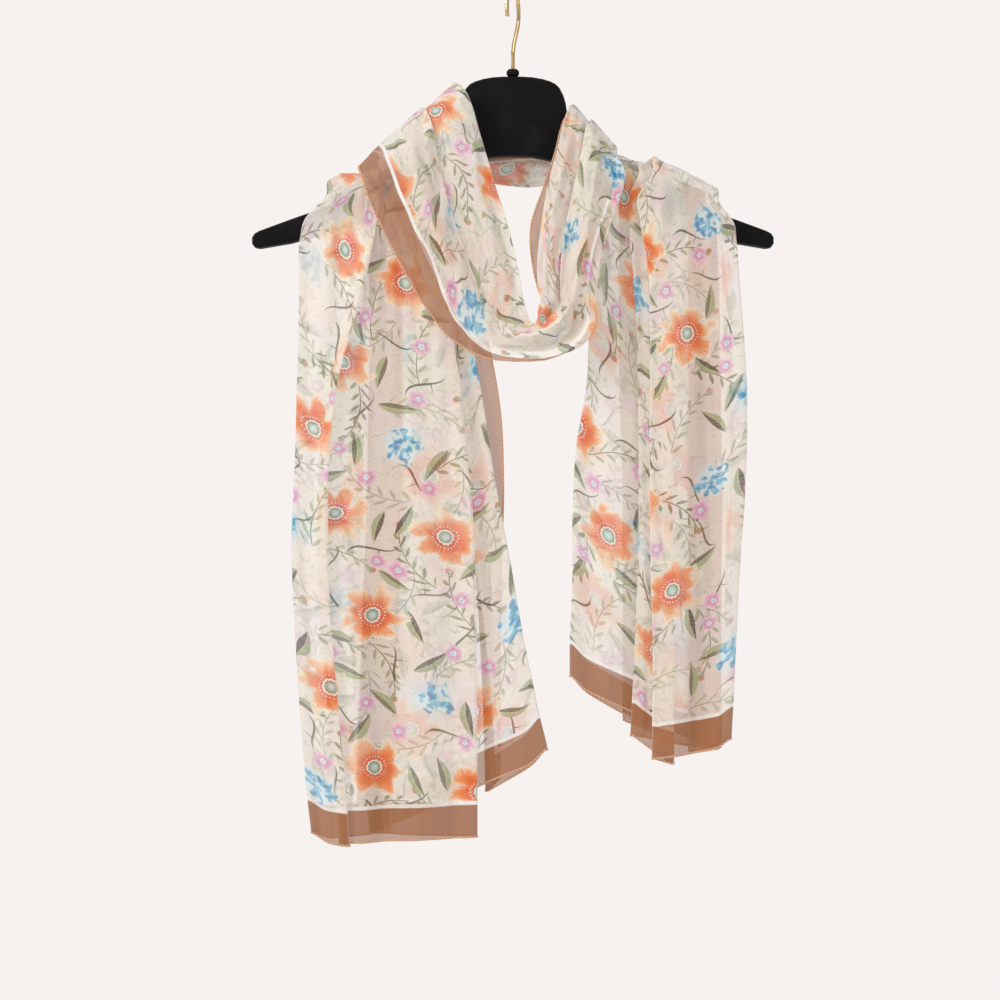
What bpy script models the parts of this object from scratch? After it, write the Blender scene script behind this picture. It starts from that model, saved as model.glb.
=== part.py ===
"""A long printed chiffon scarf wound once round the neck of a plain black hanger.

The frame is +Z up, X to the right of the front view and -Y towards the front.
The origin is the inside of the hook's top, where a rail or a peg carries it.

The scarf is one rectangle of cloth. It is folded lengthwise along eight runs,
and every cross-section of it is the same folded line, laid out afresh at each
station. From hem to hem the stations pass down these five stretches: the left
tail, the inner turn behind the neck, the cowl in front, the outer turn behind
the neck, and the right tail.
"""

import math

import bmesh
import bpy
import numpy as np

MM = 0.001

# ---------------------------------------------------------------- driving sizes (mm)
WALL = 1.0
SEAM_GAP = 0.3
FOLD_REACH = 2.2
HANGER_THICK = 14.0
HANGER_EDGE = 1.6
CREST_CLEAR = 0.8
CREST_ROUND = 1.0
CREST_ANGLES = (math.radians(32.0), math.radians(66.0))
COLLAR_RADIUS = 5.2
COLLAR_HEIGHT = 6.0
COLLAR_TOP = -66.9
COLLAR_SIDES = 24
# Share of the collar's height, and of its radius there.
COLLAR_RINGS = ((0.0, 0.72), (0.25, 0.96), (0.5, 1.0), (0.75, 0.96), (1.0, 0.72))
HANGER_BEVELS = 2
BEVEL_ANGLE = math.radians(60.0)
ROUND_ANGLE = math.radians(40.0)
CLOTH_ANGLE = math.radians(50.0)
WIRE_RADIUS = 1.6
WIRE_FINENESS = 3
HOOK_RADIUS = 20.0
HOOK_TURN = math.radians(76.0)
HOOK_START = math.radians(-35.0)
HOOK_END = math.radians(205.0)
HOOK_STEPS = 16
# The stem's line below the hook: distance from the hanger's middle, height.
STEM_LINE = ((0.0, -66.6), (0.0, -60.0), (0.6, -53.0), (4.0, -45.5), (9.8, -38.0))
# How far each bend of a fold may reach, as a share of its run.
BEND_SHARE = 0.25

# Depth slot of each of the eight runs, counted from the outer face inwards.
RUN_SLOTS = (7.6, 6.3, 5.0, 4.0, 2.0, 1.0, 0.0, 3.0)
SLOTS = 7.6
FOLDS = 9
# Points of a section that lie on the tips of its front inner and outer folds.
INNER_TIP = 15
OUTER_TIP = 27

# ---------------------------------------------------------------- the hanger (mm)
# Half outline of the hanger's body: distance from the middle, top and underside.
HANGER_HALF = (
    # x      top      under
    (0.0, -73.4, -137.6),
    (8.0, -73.5, -137.7),
    (16.0, -74.0, -138.2),
    (24.0, -75.4, -139.6),
    (30.0, -77.2, -141.0),
    (34.5, -79.4, -142.8),
    (38.0, -83.0, -144.4),
    (40.8, -88.6, -145.8),
    (42.8, -95.0, -147.0),
    (44.0, -104.0, -148.4),
    (44.8, -115.0, -149.8),
    (46.0, -125.0, -151.2),
    (48.5, -130.5, -153.0),
    (53.0, -134.8, -156.4),
    (60.0, -138.9, -160.6),
    (70.0, -143.6, -166.5),
    (80.0, -148.0, -172.0),
    (100.0, -159.0, -181.0),
    (125.0, -170.5, -192.0),
    (150.0, -178.5, -200.0),
    (180.0, -189.0, -208.0),
    (205.0, -198.2, -212.2),
    (209.0, -200.4, -211.4),
    (211.0, -203.6, -208.6),
)

# ---------------------------------------------------------------- the tails (mm)
# Left tail. A row is a height; the columns are the depth of the front face, the
# spacing of the layers, and how far each fold lies from the hook's line.
LEFT_TAIL = (
    # z       front  pitch   c0     c1      c2     c3      c4      c5      c6      c7      c8
    (-138.0, -22.5, 1.9, -56.0, -102.0, -60.0, -121.0, -71.0, -116.0, -108.0, -150.0, -98.0),
    (-175.0, -23.0, 1.9, -46.0, -94.0, -52.0, -119.0, -66.0, -115.0, -107.0, -160.0, -97.0),
    (-205.0, -24.5, 2.0, -39.0, -86.0, -46.0, -118.0, -61.0, -119.0, -111.0, -171.0, -94.0),
    (-240.0, -26.5, 2.1, -32.0, -75.0, -41.0, -119.0, -55.0, -126.0, -118.0, -172.0, -92.0),
    (-280.0, -29.0, 2.2, -22.0, -62.0, -34.0, -122.0, -47.0, -137.0, -129.0, -172.0, -90.0),
    (-330.0, -30.0, 2.6, -11.5, -49.0, -25.0, -128.0, -41.0, -150.0, -142.0, -173.5, -89.5),
    (-390.0, -31.0, 2.8, -7.5, -36.0, -16.0, -133.5, -35.5, -156.0, -147.5, -175.0, -89.0),
    (-460.0, -31.0, 3.0, -9.5, -31.0, -3.0, -133.5, -29.5, -157.0, -148.0, -178.0, -90.0),
    (-540.0, -30.0, 3.0, -10.5, -26.0, 11.0, -131.0, -29.5, -153.0, -144.0, -174.0, -93.5),
    (-620.0, -29.0, 3.0, -10.5, -23.0, 28.0, -123.0, -28.5, -145.0, -136.0, -168.5, -97.0),
    (-700.0, -28.0, 3.0, -10.5, -21.5, 30.5, -113.0, -28.5, -139.0, -130.0, -161.0, -98.5),
)
LEFT_HEM = (-641.0, -651.0, -624.0, -684.0, -686.5, -691.5, -693.0, -689.5, -682.0)

# Right tail, with the same columns.
RIGHT_TAIL = (
    # z       front  pitch   c0    c1     c2    c3     c4     c5     c6     c7     c8
    (-145.0, -26.5, 2.3, 88.0, 124.0, 90.0, 152.0, 101.0, 130.0, 112.0, 166.0, 138.0),
    (-175.0, -26.5, 2.3, 86.5, 124.0, 80.0, 162.0, 93.0, 119.0, 99.0, 173.0, 141.0),
    (-205.0, -27.5, 2.3, 86.5, 124.0, 71.0, 168.5, 93.5, 121.0, 104.0, 179.0, 141.5),
    (-240.0, -28.0, 2.4, 86.5, 124.0, 65.5, 172.0, 97.0, 126.0, 109.0, 182.0, 141.5),
    (-280.0, -29.0, 2.5, 86.5, 124.0, 61.5, 175.0, 99.0, 128.0, 110.0, 185.0, 141.5),
    (-330.0, -30.0, 2.6, 87.0, 124.0, 59.0, 177.5, 100.5, 128.0, 109.5, 188.0, 141.5),
    (-390.0, -31.0, 2.8, 89.0, 124.0, 47.5, 177.5, 101.0, 128.0, 109.5, 187.5, 141.5),
    (-460.0, -31.0, 3.0, 89.5, 124.0, 48.5, 174.0, 100.5, 128.0, 110.0, 182.5, 141.5),
    (-540.0, -30.0, 3.0, 89.5, 123.0, 45.5, 170.0, 97.5, 129.0, 112.0, 178.5, 141.5),
    (-640.0, -29.0, 3.0, 89.5, 122.0, 46.5, 167.0, 92.5, 129.0, 111.0, 174.0, 141.5),
)
RIGHT_HEM = (-594.0, -606.0, -565.0, -618.0, -605.0, -627.0, -623.0, -614.0, -618.0)

# Share of the way from crest to hem at which the tails have a section.
TAIL_STEPS = (0.0, 0.04, 0.09, 0.15, 0.22, 0.30, 0.40, 0.52, 0.66, 0.80, 0.92, 1.0)
TAIL_TOP_DROP = 7.0

# Thickness of each tail's stack where it lies on the arm, from its inner to its outer end.
LEFT_CREST = ((-160.0, 17.0), (-138.0, 21.0), (-122.0, 16.0), (-100.0, 14.5), (-50.0, 14.5))
RIGHT_CREST = ((80.0, 17.0), (112.0, 26.0), (134.0, 24.5), (150.0, 21.0), (175.0, 17.0))

# ---------------------------------------------------------------- the turns (mm)
# Stations of the band between the two crests. The outer edge and the inner edge
# of its outer face, how thick the stack of layers is at each edge, and where each
# fold lies between the edges, from 0 at the outer one to 1 at the inner one.
TURNS = (
    # name          outer x, y, z              inner x, y, z            stack at each  tuck
    #     c0    c1    c2    c3    c4   c5    c6    c7    c8
    ("inner_l0", (-149.0, 13.5, -168.0), (-60.0, 12.5, -121.0), (14.0, 13.5), (3.0, 3.0),
     (0.97, 0.47, 0.91, 0.28, 0.86, 0.37, 0.46, 0.0, 0.55)),
    ("inner_l1", (-141.0, 22.0, -184.0), (-57.5, 21.5, -128.0), (13.5, 13.0), (3.0, 3.0),
     (0.97, 0.42, 0.89, 0.26, 0.87, 0.39, 0.49, 0.0, 0.55)),
    ("inner_l1b", (-116.0, 25.0, -193.0), (-52.0, 24.5, -127.0), (12.8, 12.8), (3.0, 3.0),
     (0.96, 0.32, 0.91, 0.22, 0.92, 0.41, 0.52, 0.0, 0.55)),
    ("inner_l2", (-84.0, 24.0, -189.0), (-44.0, 24.0, -122.0), (12.4, 12.4), (3.0, 3.0),
     (0.90, 0.10, 0.94, 0.14, 0.98, 0.43, 0.55, 0.0, 0.57)),
    ("inner_l3", (-56.0, 22.5, -168.0), (-32.0, 22.5, -112.0), (11.8, 11.8), (3.0, 3.0),
     (0.70, -0.12, 0.94, 0.10, 1.0, 0.44, 0.56, 0.0, 0.62)),
    ("inner_mid_l", (-30.0, 21.5, -142.0), (-18.0, 21.5, -99.0), (11.8, 11.8), (3.0, 3.0),
     (0.45, -0.42, 0.95, 0.08, 1.0, 0.44, 0.56, 0.0, 0.65)),
    ("inner_mid_r", (22.0, 21.5, -138.5), (22.0, 21.5, -94.0), (11.8, 11.8), (3.0, 3.0),
     (0.52, -0.50, 0.95, 0.08, 1.0, 0.44, 0.56, 0.0, 0.65)),
    ("inner_r2", (62.0, 21.5, -146.0), (47.0, 21.0, -99.0), (12.6, 12.6), (3.0, 3.0),
     (0.74, -0.04, 0.92, 0.10, 1.0, 0.46, 0.58, 0.0, 0.50)),
    ("inner_r1", (77.5, 15.0, -141.0), (56.0, 14.0, -99.0), (13.2, 13.2), (3.0, 3.0),
     (0.80, 0.12, 0.90, 0.12, 1.0, 0.48, 0.60, 0.0, 0.36)),
    ("right_crest", (84.5, -1.0, -131.5), (52.0, -1.0, -92.5), (13.0, 12.0), (3.0, 3.0),
     (0.85, 0.22, 0.90, 0.16, 1.0, 0.50, 0.62, 0.0, 0.24)),
    ("right_leg_1", (86.0, -20.5, -139.0), (45.0, -20.5, -102.0), (12.2, 11.4), (3.0, 3.0),
     (0.96, 0.24, 0.90, 0.18, 1.0, 0.52, 0.64, 0.0, 0.16)),
    ("right_leg_2", (90.0, -32.0, -154.0), (36.0, -27.0, -131.0), (11.8, 11.8), (3.0, 3.0),
     (1.02, 0.24, 0.90, 0.18, 1.0, 0.54, 0.66, 0.0, 0.12)),
    ("right_leg_3", (86.0, -38.0, -173.0), (28.0, -34.0, -162.0), (11.8, 11.8), (3.0, 3.0),
     (1.06, 0.22, 0.90, 0.18, 1.0, 0.55, 0.66, 0.0, 0.12)),
    ("right_leg_4", (77.0, -42.0, -197.0), (22.0, -39.0, -196.0), (12.0, 11.8), (3.0, 3.0),
     (1.15, 0.22, 0.90, 0.18, 1.0, 0.54, 0.64, 0.0, 0.12)),
    ("right_leg_5", (69.0, -46.0, -224.0), (19.0, -43.0, -226.0), (12.5, 12.0), (3.0, 3.0),
     (1.08, 0.22, 0.90, 0.18, 1.0, 0.50, 0.62, 0.0, 0.12)),
    ("right_leg_6", (66.0, -49.0, -254.0), (19.5, -46.0, -248.0), (13.0, 12.5), (3.0, 3.0),
     (0.98, 0.22, 0.90, 0.18, 1.0, 0.50, 0.62, 0.0, 0.12)),
    ("cowl_right", (65.0, -52.0, -281.0), (21.0, -48.0, -257.0), (13.0, 13.0), (2.6, 3.0),
     (0.90, 0.22, 0.88, 0.18, 1.0, 0.50, 0.62, 0.0, 0.11)),
    ("cowl_low_r", (52.0, -54.0, -295.0), (19.5, -49.0, -266.0), (13.0, 13.0), (2.0, 3.2),
     (0.88, 0.24, 0.86, 0.20, 1.0, 0.50, 0.62, 0.0, 0.08)),
    ("cowl_low", (30.0, -55.0, -303.0), (19.0, -50.0, -270.5), (13.0, 13.0), (1.4, 3.4),
     (0.86, 0.28, 0.86, 0.24, 1.0, 0.52, 0.62, 0.02, 0.02)),
    ("cowl_low_l", (2.0, -54.0, -304.5), (16.5, -50.0, -274.0), (13.0, 13.0), (0.8, 2.4),
     (0.86, 0.32, 0.86, 0.28, 1.0, 0.54, 0.64, 0.08, -0.02)),
    ("cowl_left", (-24.0, -52.0, -302.0), (13.0, -49.0, -271.5), (13.0, 12.5), (0.4, 1.2),
     (0.88, 0.34, 0.88, 0.30, 1.0, 0.54, 0.64, 0.16, 0.0)),
    ("left_leg_6", (-46.0, -49.0, -290.0), (9.5, -47.0, -261.0), (12.5, 12.0), (0.3, 0.8),
     (0.90, 0.36, 0.90, 0.32, 1.0, 0.52, 0.62, 0.22, 0.0)),
    ("left_leg_5", (-69.0, -46.0, -263.0), (5.0, -44.0, -236.0), (12.0, 12.0), (0.2, 0.6),
     (0.92, 0.36, 0.92, 0.32, 1.0, 0.50, 0.58, 0.24, 0.0)),
    ("left_leg_4", (-88.0, -43.0, -231.0), (-3.5, -42.0, -199.0), (11.8, 11.8), (0.2, 0.6),
     (0.92, 0.38, 0.92, 0.34, 1.0, 0.49, 0.57, 0.24, 0.0)),
    ("left_leg_3", (-101.0, -40.5, -206.0), (-14.5, -39.5, -163.0), (11.8, 11.8), (0.2, 0.6),
     (0.92, 0.38, 0.92, 0.34, 1.0, 0.50, 0.58, 0.24, 0.0)),
    ("left_leg_2", (-112.5, -38.0, -181.0), (-25.5, -36.0, -126.0), (11.8, 11.8), (0.2, 0.6),
     (0.92, 0.38, 0.92, 0.34, 1.0, 0.53, 0.61, 0.24, 0.0)),
    ("left_leg_1", (-121.5, -33.0, -156.5), (-37.5, -26.0, -88.5), (12.0, 12.0), (0.2, 0.6),
     (0.92, 0.38, 0.92, 0.34, 1.0, 0.58, 0.66, 0.22, 0.0)),
    ("left_crest", (-125.5, -3.0, -144.0), (-48.5, -2.0, -74.5), (12.5, 12.5), (0.4, 1.2),
     (0.90, 0.38, 0.92, 0.32, 1.0, 0.60, 0.68, 0.14, 0.0)),
    ("outer_l1", (-112.0, 34.0, -158.0), (-48.0, 31.0, -82.0), (12.0, 12.0), (1.4, 3.2),
     (0.84, 0.34, 0.92, 0.26, 1.0, 0.54, 0.64, 0.02, 0.02)),
    ("outer_l2", (-70.0, 37.5, -156.0), (-36.0, 37.0, -87.0), (11.8, 11.8), (2.4, 3.0),
     (0.76, 0.26, 0.92, 0.18, 1.0, 0.50, 0.60, 0.0, 0.16)),
    ("outer_mid", (2.0, 36.5, -137.0), (2.0, 36.5, -84.0), (11.8, 11.8), (3.0, 3.0),
     (0.70, 0.24, 0.92, 0.16, 1.0, 0.48, 0.60, 0.0, 0.38)),
    ("outer_r2", (66.0, 36.0, -156.0), (40.0, 36.0, -97.0), (12.0, 12.0), (3.0, 3.0),
     (0.74, 0.26, 0.92, 0.16, 1.0, 0.48, 0.62, 0.0, 0.40)),
    ("outer_r1", (116.0, 34.0, -176.0), (67.0, 34.0, -117.0), (15.2, 15.2), (3.0, 3.0),
     (0.84, 0.36, 0.94, 0.16, 0.96, 0.48, 0.66, 0.0, 0.38)),
    ("outer_r0", (148.0, 19.0, -172.0), (86.0, 19.0, -128.0), (16.0, 14.0), (3.0, 3.0),
     (0.94, 0.46, 0.97, 0.18, 0.90, 0.48, 0.70, 0.0, 0.36)),
)
CREST_STATIONS = ("right_crest", "left_crest")
BEND_STEP = math.radians(24.0)
BEND_MOST = 4

# ---------------------------------------------------------------- colours
CLOTH_CREAM = (0.80, 0.69, 0.58, 1.0)
PLASTIC_BLACK = (0.012, 0.011, 0.012, 1.0)
HOOK_GOLD = (0.70, 0.50, 0.22, 1.0)


def clear_scene():
    """Take away whatever the scene holds."""
    for item in list(bpy.data.objects):
        bpy.data.objects.remove(item, do_unlink=True)


def make_material(name, colour, roughness, metallic):
    """Make one Principled material."""
    material = bpy.data.materials.new(name)
    material.use_nodes = True
    shader = material.node_tree.nodes["Principled BSDF"]
    shader.inputs["Base Color"].default_value = colour
    shader.inputs["Roughness"].default_value = roughness
    shader.inputs["Metallic"].default_value = metallic
    return material


def add_object(name, vertices, faces, material, smooth_angle):
    """Put a mesh into the scene as one named object."""
    mesh = bpy.data.meshes.new(name)
    mesh.from_pydata([tuple(point) for point in vertices], [], faces)
    mesh.materials.append(material)
    mesh.validate()
    mesh.shade_smooth()
    mesh.set_sharp_from_angle(angle=smooth_angle)
    item = bpy.data.objects.new(name, mesh)
    bpy.context.scene.collection.objects.link(item)
    return item


def unit(vectors):
    """Scale vectors to length one."""
    return vectors / np.maximum(np.linalg.norm(vectors, axis=-1, keepdims=True), 1e-9)


def arm_top(x):
    """Height of the hanger's top edge at a distance from its middle."""
    table = np.array(HANGER_HALF)
    return np.interp(np.abs(x), table[:, 0], table[:, 1])


def fold_line(places, reach, tuck=(RUN_SLOTS[-1], RUN_SLOTS[-1])):
    """Lay the folded line of one section out.

    Each fold between two runs gets a point on its tip and one on each run beside
    it, so that it turns as a small round, and each run gets a point halfway. The
    two ends are plain points. The result has one (place, slot) row for a point.
    """
    slots = RUN_SLOTS[:-1] + (tuck[0],)
    rows = [(places[0], slots[0])]
    for run, slot in enumerate(slots):
        start = places[run]
        end = places[run + 1]
        last = slot if run < FOLDS - 2 else tuck[1]
        step = math.copysign(min(reach, BEND_SHARE * abs(end - start)), end - start)
        if run > 0:
            rows.append((start + step, slot))
        rows.append((0.5 * (start + end), 0.5 * (slot + last)))
        if run < FOLDS - 2:
            rows.append((end - step, slot))
            rows.append((end, 0.5 * (slot + slots[run + 1])))
    rows.append((places[-1], tuck[1]))
    return np.array(rows)


def crest_sections(line, crest):
    """Lay a folded line over the arm: on top, then turned twice round the front corner."""
    place = line[:, 0]
    crest = np.array(crest)
    stack = np.interp(place, crest[:, 0], crest[:, 1])
    lift = CREST_CLEAR + 0.5 * WALL + stack * (1.0 - line[:, 1] / SLOTS)
    on_top = np.column_stack((place, np.zeros(len(line)), arm_top(place) + lift))
    sections = [on_top]
    for angle in CREST_ANGLES:
        y = CREST_ROUND - 0.5 * HANGER_THICK - math.sin(angle) * (lift + CREST_ROUND)
        z = arm_top(place) - CREST_ROUND + math.cos(angle) * (lift + CREST_ROUND)
        sections.append(np.column_stack((place, y, z)))
    return sections


def tail_sections(table, hems, crest):
    """Work out the sections of a tail from the arm's top down to its hem.

    Below the arm each fold is the same share of the way from its own top to its
    own hem in every section, so the hem can slant.
    """
    table = np.array(table)
    depths = -table[:, 0]
    folds = np.arange(FOLDS, dtype=float)
    tops = table[0, 3:]
    sections = crest_sections(fold_line(tops, FOLD_REACH), crest)
    numbers = fold_line(folds, 0.0)[:, 0]
    begin = arm_top(np.interp(numbers, folds, tops)) - TAIL_TOP_DROP
    finish = np.interp(numbers, folds, np.array(hems))
    for step in TAIL_STEPS:
        height = begin + step * (finish - begin)
        points = []
        for place, z in enumerate(height):
            front, pitch, *row = [np.interp(-z, depths, column) for column in table[:, 1:].T]
            x, slot = fold_line(row, FOLD_REACH)[place]
            points.append((x, front + slot * pitch, z))
        sections.append(np.array(points))
    return np.array(sections)


def turn_sections(start, finish):
    """Work out the sections of the band between the middles of the two crests."""
    outer = np.array([row[1] for row in TURNS])
    inner = np.array([row[2] for row in TURNS])
    middle = np.concatenate(([start], 0.5 * (outer + inner), [finish]))
    along = unit(middle[2:] - middle[:-2])
    outward = unit(np.cross(inner - outer, along))
    sections = []
    for index, (_, _, _, stack, tuck, folds) in enumerate(TURNS):
        across = inner[index] - outer[index]
        line = fold_line(folds, FOLD_REACH / np.linalg.norm(across), tuck)
        place = line[:, 0:1]
        depth = line[:, 1:2] / SLOTS * (stack[0] + (stack[1] - stack[0]) * place)
        sections.append(outer[index] + place * across - depth * outward[index])
    return np.array(sections)


def bend_steps(sections):
    """Count the steps needed between sections, from how far the cloth turns there."""
    along = unit(np.gradient(sections.mean(axis=1), axis=0))
    outward = unit(np.cross(sections[:, INNER_TIP] - sections[:, OUTER_TIP], along))
    turns = []
    for direction in (along, outward):
        closeness = np.clip(np.sum(direction[1:] * direction[:-1], axis=1), -1.0, 1.0)
        turns.append(np.arccos(closeness))
    return np.clip(np.ceil(np.maximum(*turns) / BEND_STEP).astype(int), 1, BEND_MOST)


def refine(sections, first, last):
    """Put extra sections where the cloth turns, on a smooth curve through the given ones.

    Only the stretch from the first to the last number gets them. Returns the
    sections, and the new number of each given one.
    """
    gaps = np.linalg.norm(np.diff(sections.mean(axis=1), axis=0), axis=1)
    when = np.concatenate(([0.0], np.cumsum(gaps)))
    slope = np.gradient(sections, when, axis=0)
    steps = bend_steps(sections)
    steps[:first] = 1
    steps[last:] = 1
    result = []
    for index, gap in enumerate(gaps):
        for step in range(steps[index]):
            part = step / steps[index]
            keep = 2.0 * part**3 - 3.0 * part**2 + 1.0
            leave = (part**3 - 2.0 * part**2 + part) * gap
            arrive = (part**3 - part**2) * gap
            point = keep * sections[index] + (1.0 - keep) * sections[index + 1]
            result.append(point + leave * slope[index] + arrive * slope[index + 1])
    result.append(sections[-1])
    return np.array(result), np.concatenate(([0], np.cumsum(steps)))


def whole_scarf():
    """Join all the sections from the left hem to the right hem.

    Returns the middle surface, and the number of the section at each seam.
    """
    left = tail_sections(LEFT_TAIL, LEFT_HEM, LEFT_CREST)[::-1]
    right = tail_sections(RIGHT_TAIL, RIGHT_HEM, RIGHT_CREST)
    turns = turn_sections(left[-1].mean(axis=0), right[0].mean(axis=0))
    joined = np.concatenate((left, turns, right))
    surface, numbers = refine(joined, len(left) - 1, len(left) + len(turns))
    names = [row[0] for row in TURNS]
    places = [0, len(left) - 1]
    places += [len(left) + names.index(name) for name in CREST_STATIONS]
    places += [len(left) + len(turns), len(left) + len(turns) + len(right) - 1]
    return surface, [int(numbers[place]) for place in places]


def wall_object(name, surface, normals, material):
    """Thicken a stretch of the middle surface into a closed wall.

    Both faces of the wall are cut into triangles along the same diagonals, the
    shorter one of each cell, so that they stay apart where the cloth twists.
    """
    rows, columns = surface.shape[:2]
    shift = 0.5 * WALL * normals
    points = np.concatenate(((surface + shift).reshape(-1, 3), (surface - shift).reshape(-1, 3)))
    back = rows * columns
    falling = np.linalg.norm(surface[1:, 1:] - surface[:-1, :-1], axis=2)
    rising = np.linalg.norm(surface[1:, :-1] - surface[:-1, 1:], axis=2)
    faces = []
    for row in range(rows - 1):
        for column in range(columns - 1):
            a = row * columns + column
            b = a + 1
            c = b + columns
            d = a + columns
            if falling[row, column] < rising[row, column]:
                pair = ((a, b, c), (a, c, d))
            else:
                pair = ((a, b, d), (b, c, d))
            faces += pair
            faces += [tuple(back + index for index in reversed(corner)) for corner in pair]
    rim = list(range(columns))
    rim += [row * columns + columns - 1 for row in range(1, rows)]
    rim += [(rows - 1) * columns + column for column in range(columns - 2, -1, -1)]
    rim += [row * columns for row in range(rows - 2, 0, -1)]
    for place, corner in enumerate(rim):
        following = rim[(place + 1) % len(rim)]
        falling = np.linalg.norm(points[following] - points[back + corner])
        rising = np.linalg.norm(points[corner] - points[back + following])
        if falling < rising:
            faces.append((following, corner, back + corner))
            faces.append((following, back + corner, back + following))
        else:
            faces.append((following, corner, back + following))
            faces.append((corner, back + corner, back + following))
    return add_object(name, points * MM, faces, material, CLOTH_ANGLE)


def build_scarf(material):
    """Cut the scarf into its five stretches and build each one."""
    surface, seams = whole_scarf()
    across = np.gradient(surface, axis=1)
    along = np.gradient(surface, axis=0)
    normals = unit(np.cross(across, along))
    names = ("left_tail", "neck_turn_inner", "front_cowl", "neck_turn_outer", "right_tail")
    for number, name in enumerate(names):
        start = seams[number]
        end = seams[number + 1] + 1
        piece = surface[start:end].copy()
        if start > 0:
            piece[0] += 0.5 * SEAM_GAP * unit(along[start])
        if end < len(surface):
            piece[-1] -= 0.5 * SEAM_GAP * unit(along[end - 1])
        wall_object(name, piece, normals[start:end], material)


def build_hanger(black, gold):
    """Build the hanger's body, the collar on it and its wire hook."""
    half = np.array(HANGER_HALF)
    top = [(x, z) for x, z, _ in half]
    under = [(x, z) for x, _, z in half]
    right = top + under[::-1]
    left = [(-x, z) for x, z in reversed(right) if x > 0.0]
    outline = right[:-1] + [under[0]] + left
    mesh = bmesh.new()
    front = [mesh.verts.new((x * MM, -0.5 * HANGER_THICK * MM, z * MM)) for x, z in outline]
    face = mesh.faces.new(front)
    moved = bmesh.ops.extrude_face_region(mesh, geom=[face])
    lifted = [item for item in moved["geom"] if isinstance(item, bmesh.types.BMVert)]
    bmesh.ops.translate(mesh, verts=lifted, vec=(0.0, HANGER_THICK * MM, 0.0))
    bmesh.ops.recalc_face_normals(mesh, faces=mesh.faces)
    data = bpy.data.meshes.new("hanger_body")
    mesh.to_mesh(data)
    mesh.free()
    data.materials.append(black)
    body = bpy.data.objects.new("hanger_body", data)
    bpy.context.scene.collection.objects.link(body)
    bevel = body.modifiers.new("edge", "BEVEL")
    bevel.width = HANGER_EDGE * MM
    bevel.segments = HANGER_BEVELS
    bevel.limit_method = "ANGLE"
    bevel.angle_limit = BEVEL_ANGLE

    vertices = []
    for share, width in COLLAR_RINGS:
        for side in range(COLLAR_SIDES):
            angle = 2.0 * math.pi * side / COLLAR_SIDES
            radius = COLLAR_RADIUS * width
            height = COLLAR_TOP - COLLAR_HEIGHT + share * COLLAR_HEIGHT
            vertices.append((radius * math.cos(angle) * MM, radius * math.sin(angle) * MM, height * MM))
    count = COLLAR_SIDES
    last = len(COLLAR_RINGS) - 1
    faces = [tuple(reversed(range(count)))]
    faces.append(tuple(range(last * count, (last + 1) * count)))
    for ring in range(last):
        for side in range(count):
            after = (side + 1) % count
            low = ring * count
            faces.append((low + side, low + after, low + count + after, low + count + side))
    add_object("hanger_collar", vertices, faces, black, ROUND_ANGLE)

    middle = WIRE_RADIUS - HOOK_RADIUS
    route = list(STEM_LINE)
    for step in range(HOOK_STEPS + 1):
        angle = HOOK_START + (HOOK_END - HOOK_START) * step / HOOK_STEPS
        route.append((HOOK_RADIUS * math.cos(angle), middle + HOOK_RADIUS * math.sin(angle)))
    curve = bpy.data.curves.new("hanger_hook", "CURVE")
    curve.dimensions = "3D"
    curve.bevel_depth = WIRE_RADIUS * MM
    curve.bevel_resolution = WIRE_FINENESS
    curve.use_fill_caps = True
    spline = curve.splines.new("POLY")
    spline.points.add(len(route) - 1)
    for point, (reach, height) in zip(spline.points, route):
        place = (reach * math.cos(HOOK_TURN) * MM, reach * math.sin(HOOK_TURN) * MM, height * MM, 1.0)
        point.co = place
    curve.materials.append(gold)
    hook = bpy.data.objects.new("hanger_hook", curve)
    bpy.context.scene.collection.objects.link(hook)


def main():
    """Build the hanger and the scarf on it."""
    clear_scene()
    cloth = make_material("chiffon", CLOTH_CREAM, 0.75, 0.0)
    black = make_material("black_plastic", PLASTIC_BLACK, 0.55, 0.0)
    gold = make_material("gold_wire", HOOK_GOLD, 0.25, 1.0)
    build_hanger(black, gold)
    build_scarf(cloth)


main()
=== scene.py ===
"""A printed chiffon scarf wound once round the neck of a plain black hanger.

The frame is +Z up, X to the right of the front view and -Y towards the front, with
the origin at the inside of the hook's top. The scarf is one rectangle of cloth,
folded lengthwise along eight runs. Its five stretches are thin sheets that take the
place of the five cloth solids, and the hanger keeps its own solids. Lengths in the
tables are millimetres unless a name says otherwise.
"""

import logging
import math
from dataclasses import dataclass, field
from enum import Enum

import bpy
import numpy as np
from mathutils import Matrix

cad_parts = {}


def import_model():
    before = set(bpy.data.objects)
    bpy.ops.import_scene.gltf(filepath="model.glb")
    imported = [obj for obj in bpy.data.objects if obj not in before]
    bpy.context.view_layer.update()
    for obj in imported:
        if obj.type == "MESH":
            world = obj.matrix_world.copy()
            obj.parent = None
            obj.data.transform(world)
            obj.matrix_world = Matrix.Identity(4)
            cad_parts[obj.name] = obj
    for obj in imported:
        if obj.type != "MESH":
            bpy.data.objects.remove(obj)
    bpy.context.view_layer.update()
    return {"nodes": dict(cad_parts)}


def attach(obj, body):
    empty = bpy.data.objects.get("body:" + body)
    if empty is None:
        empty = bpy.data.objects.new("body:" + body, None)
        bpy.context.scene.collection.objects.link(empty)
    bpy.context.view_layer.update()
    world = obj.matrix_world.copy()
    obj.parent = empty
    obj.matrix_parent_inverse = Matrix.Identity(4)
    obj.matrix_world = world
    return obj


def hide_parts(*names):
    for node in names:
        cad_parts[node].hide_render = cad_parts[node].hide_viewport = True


LOG = logging.getLogger("scarf")
MM = 0.001
Socket = bpy.types.NodeSocket
Value = Socket | float
Colour = tuple[float, float, float, float]
Point = tuple[float, float, float]
Table = tuple[tuple[float, ...], ...]

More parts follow.
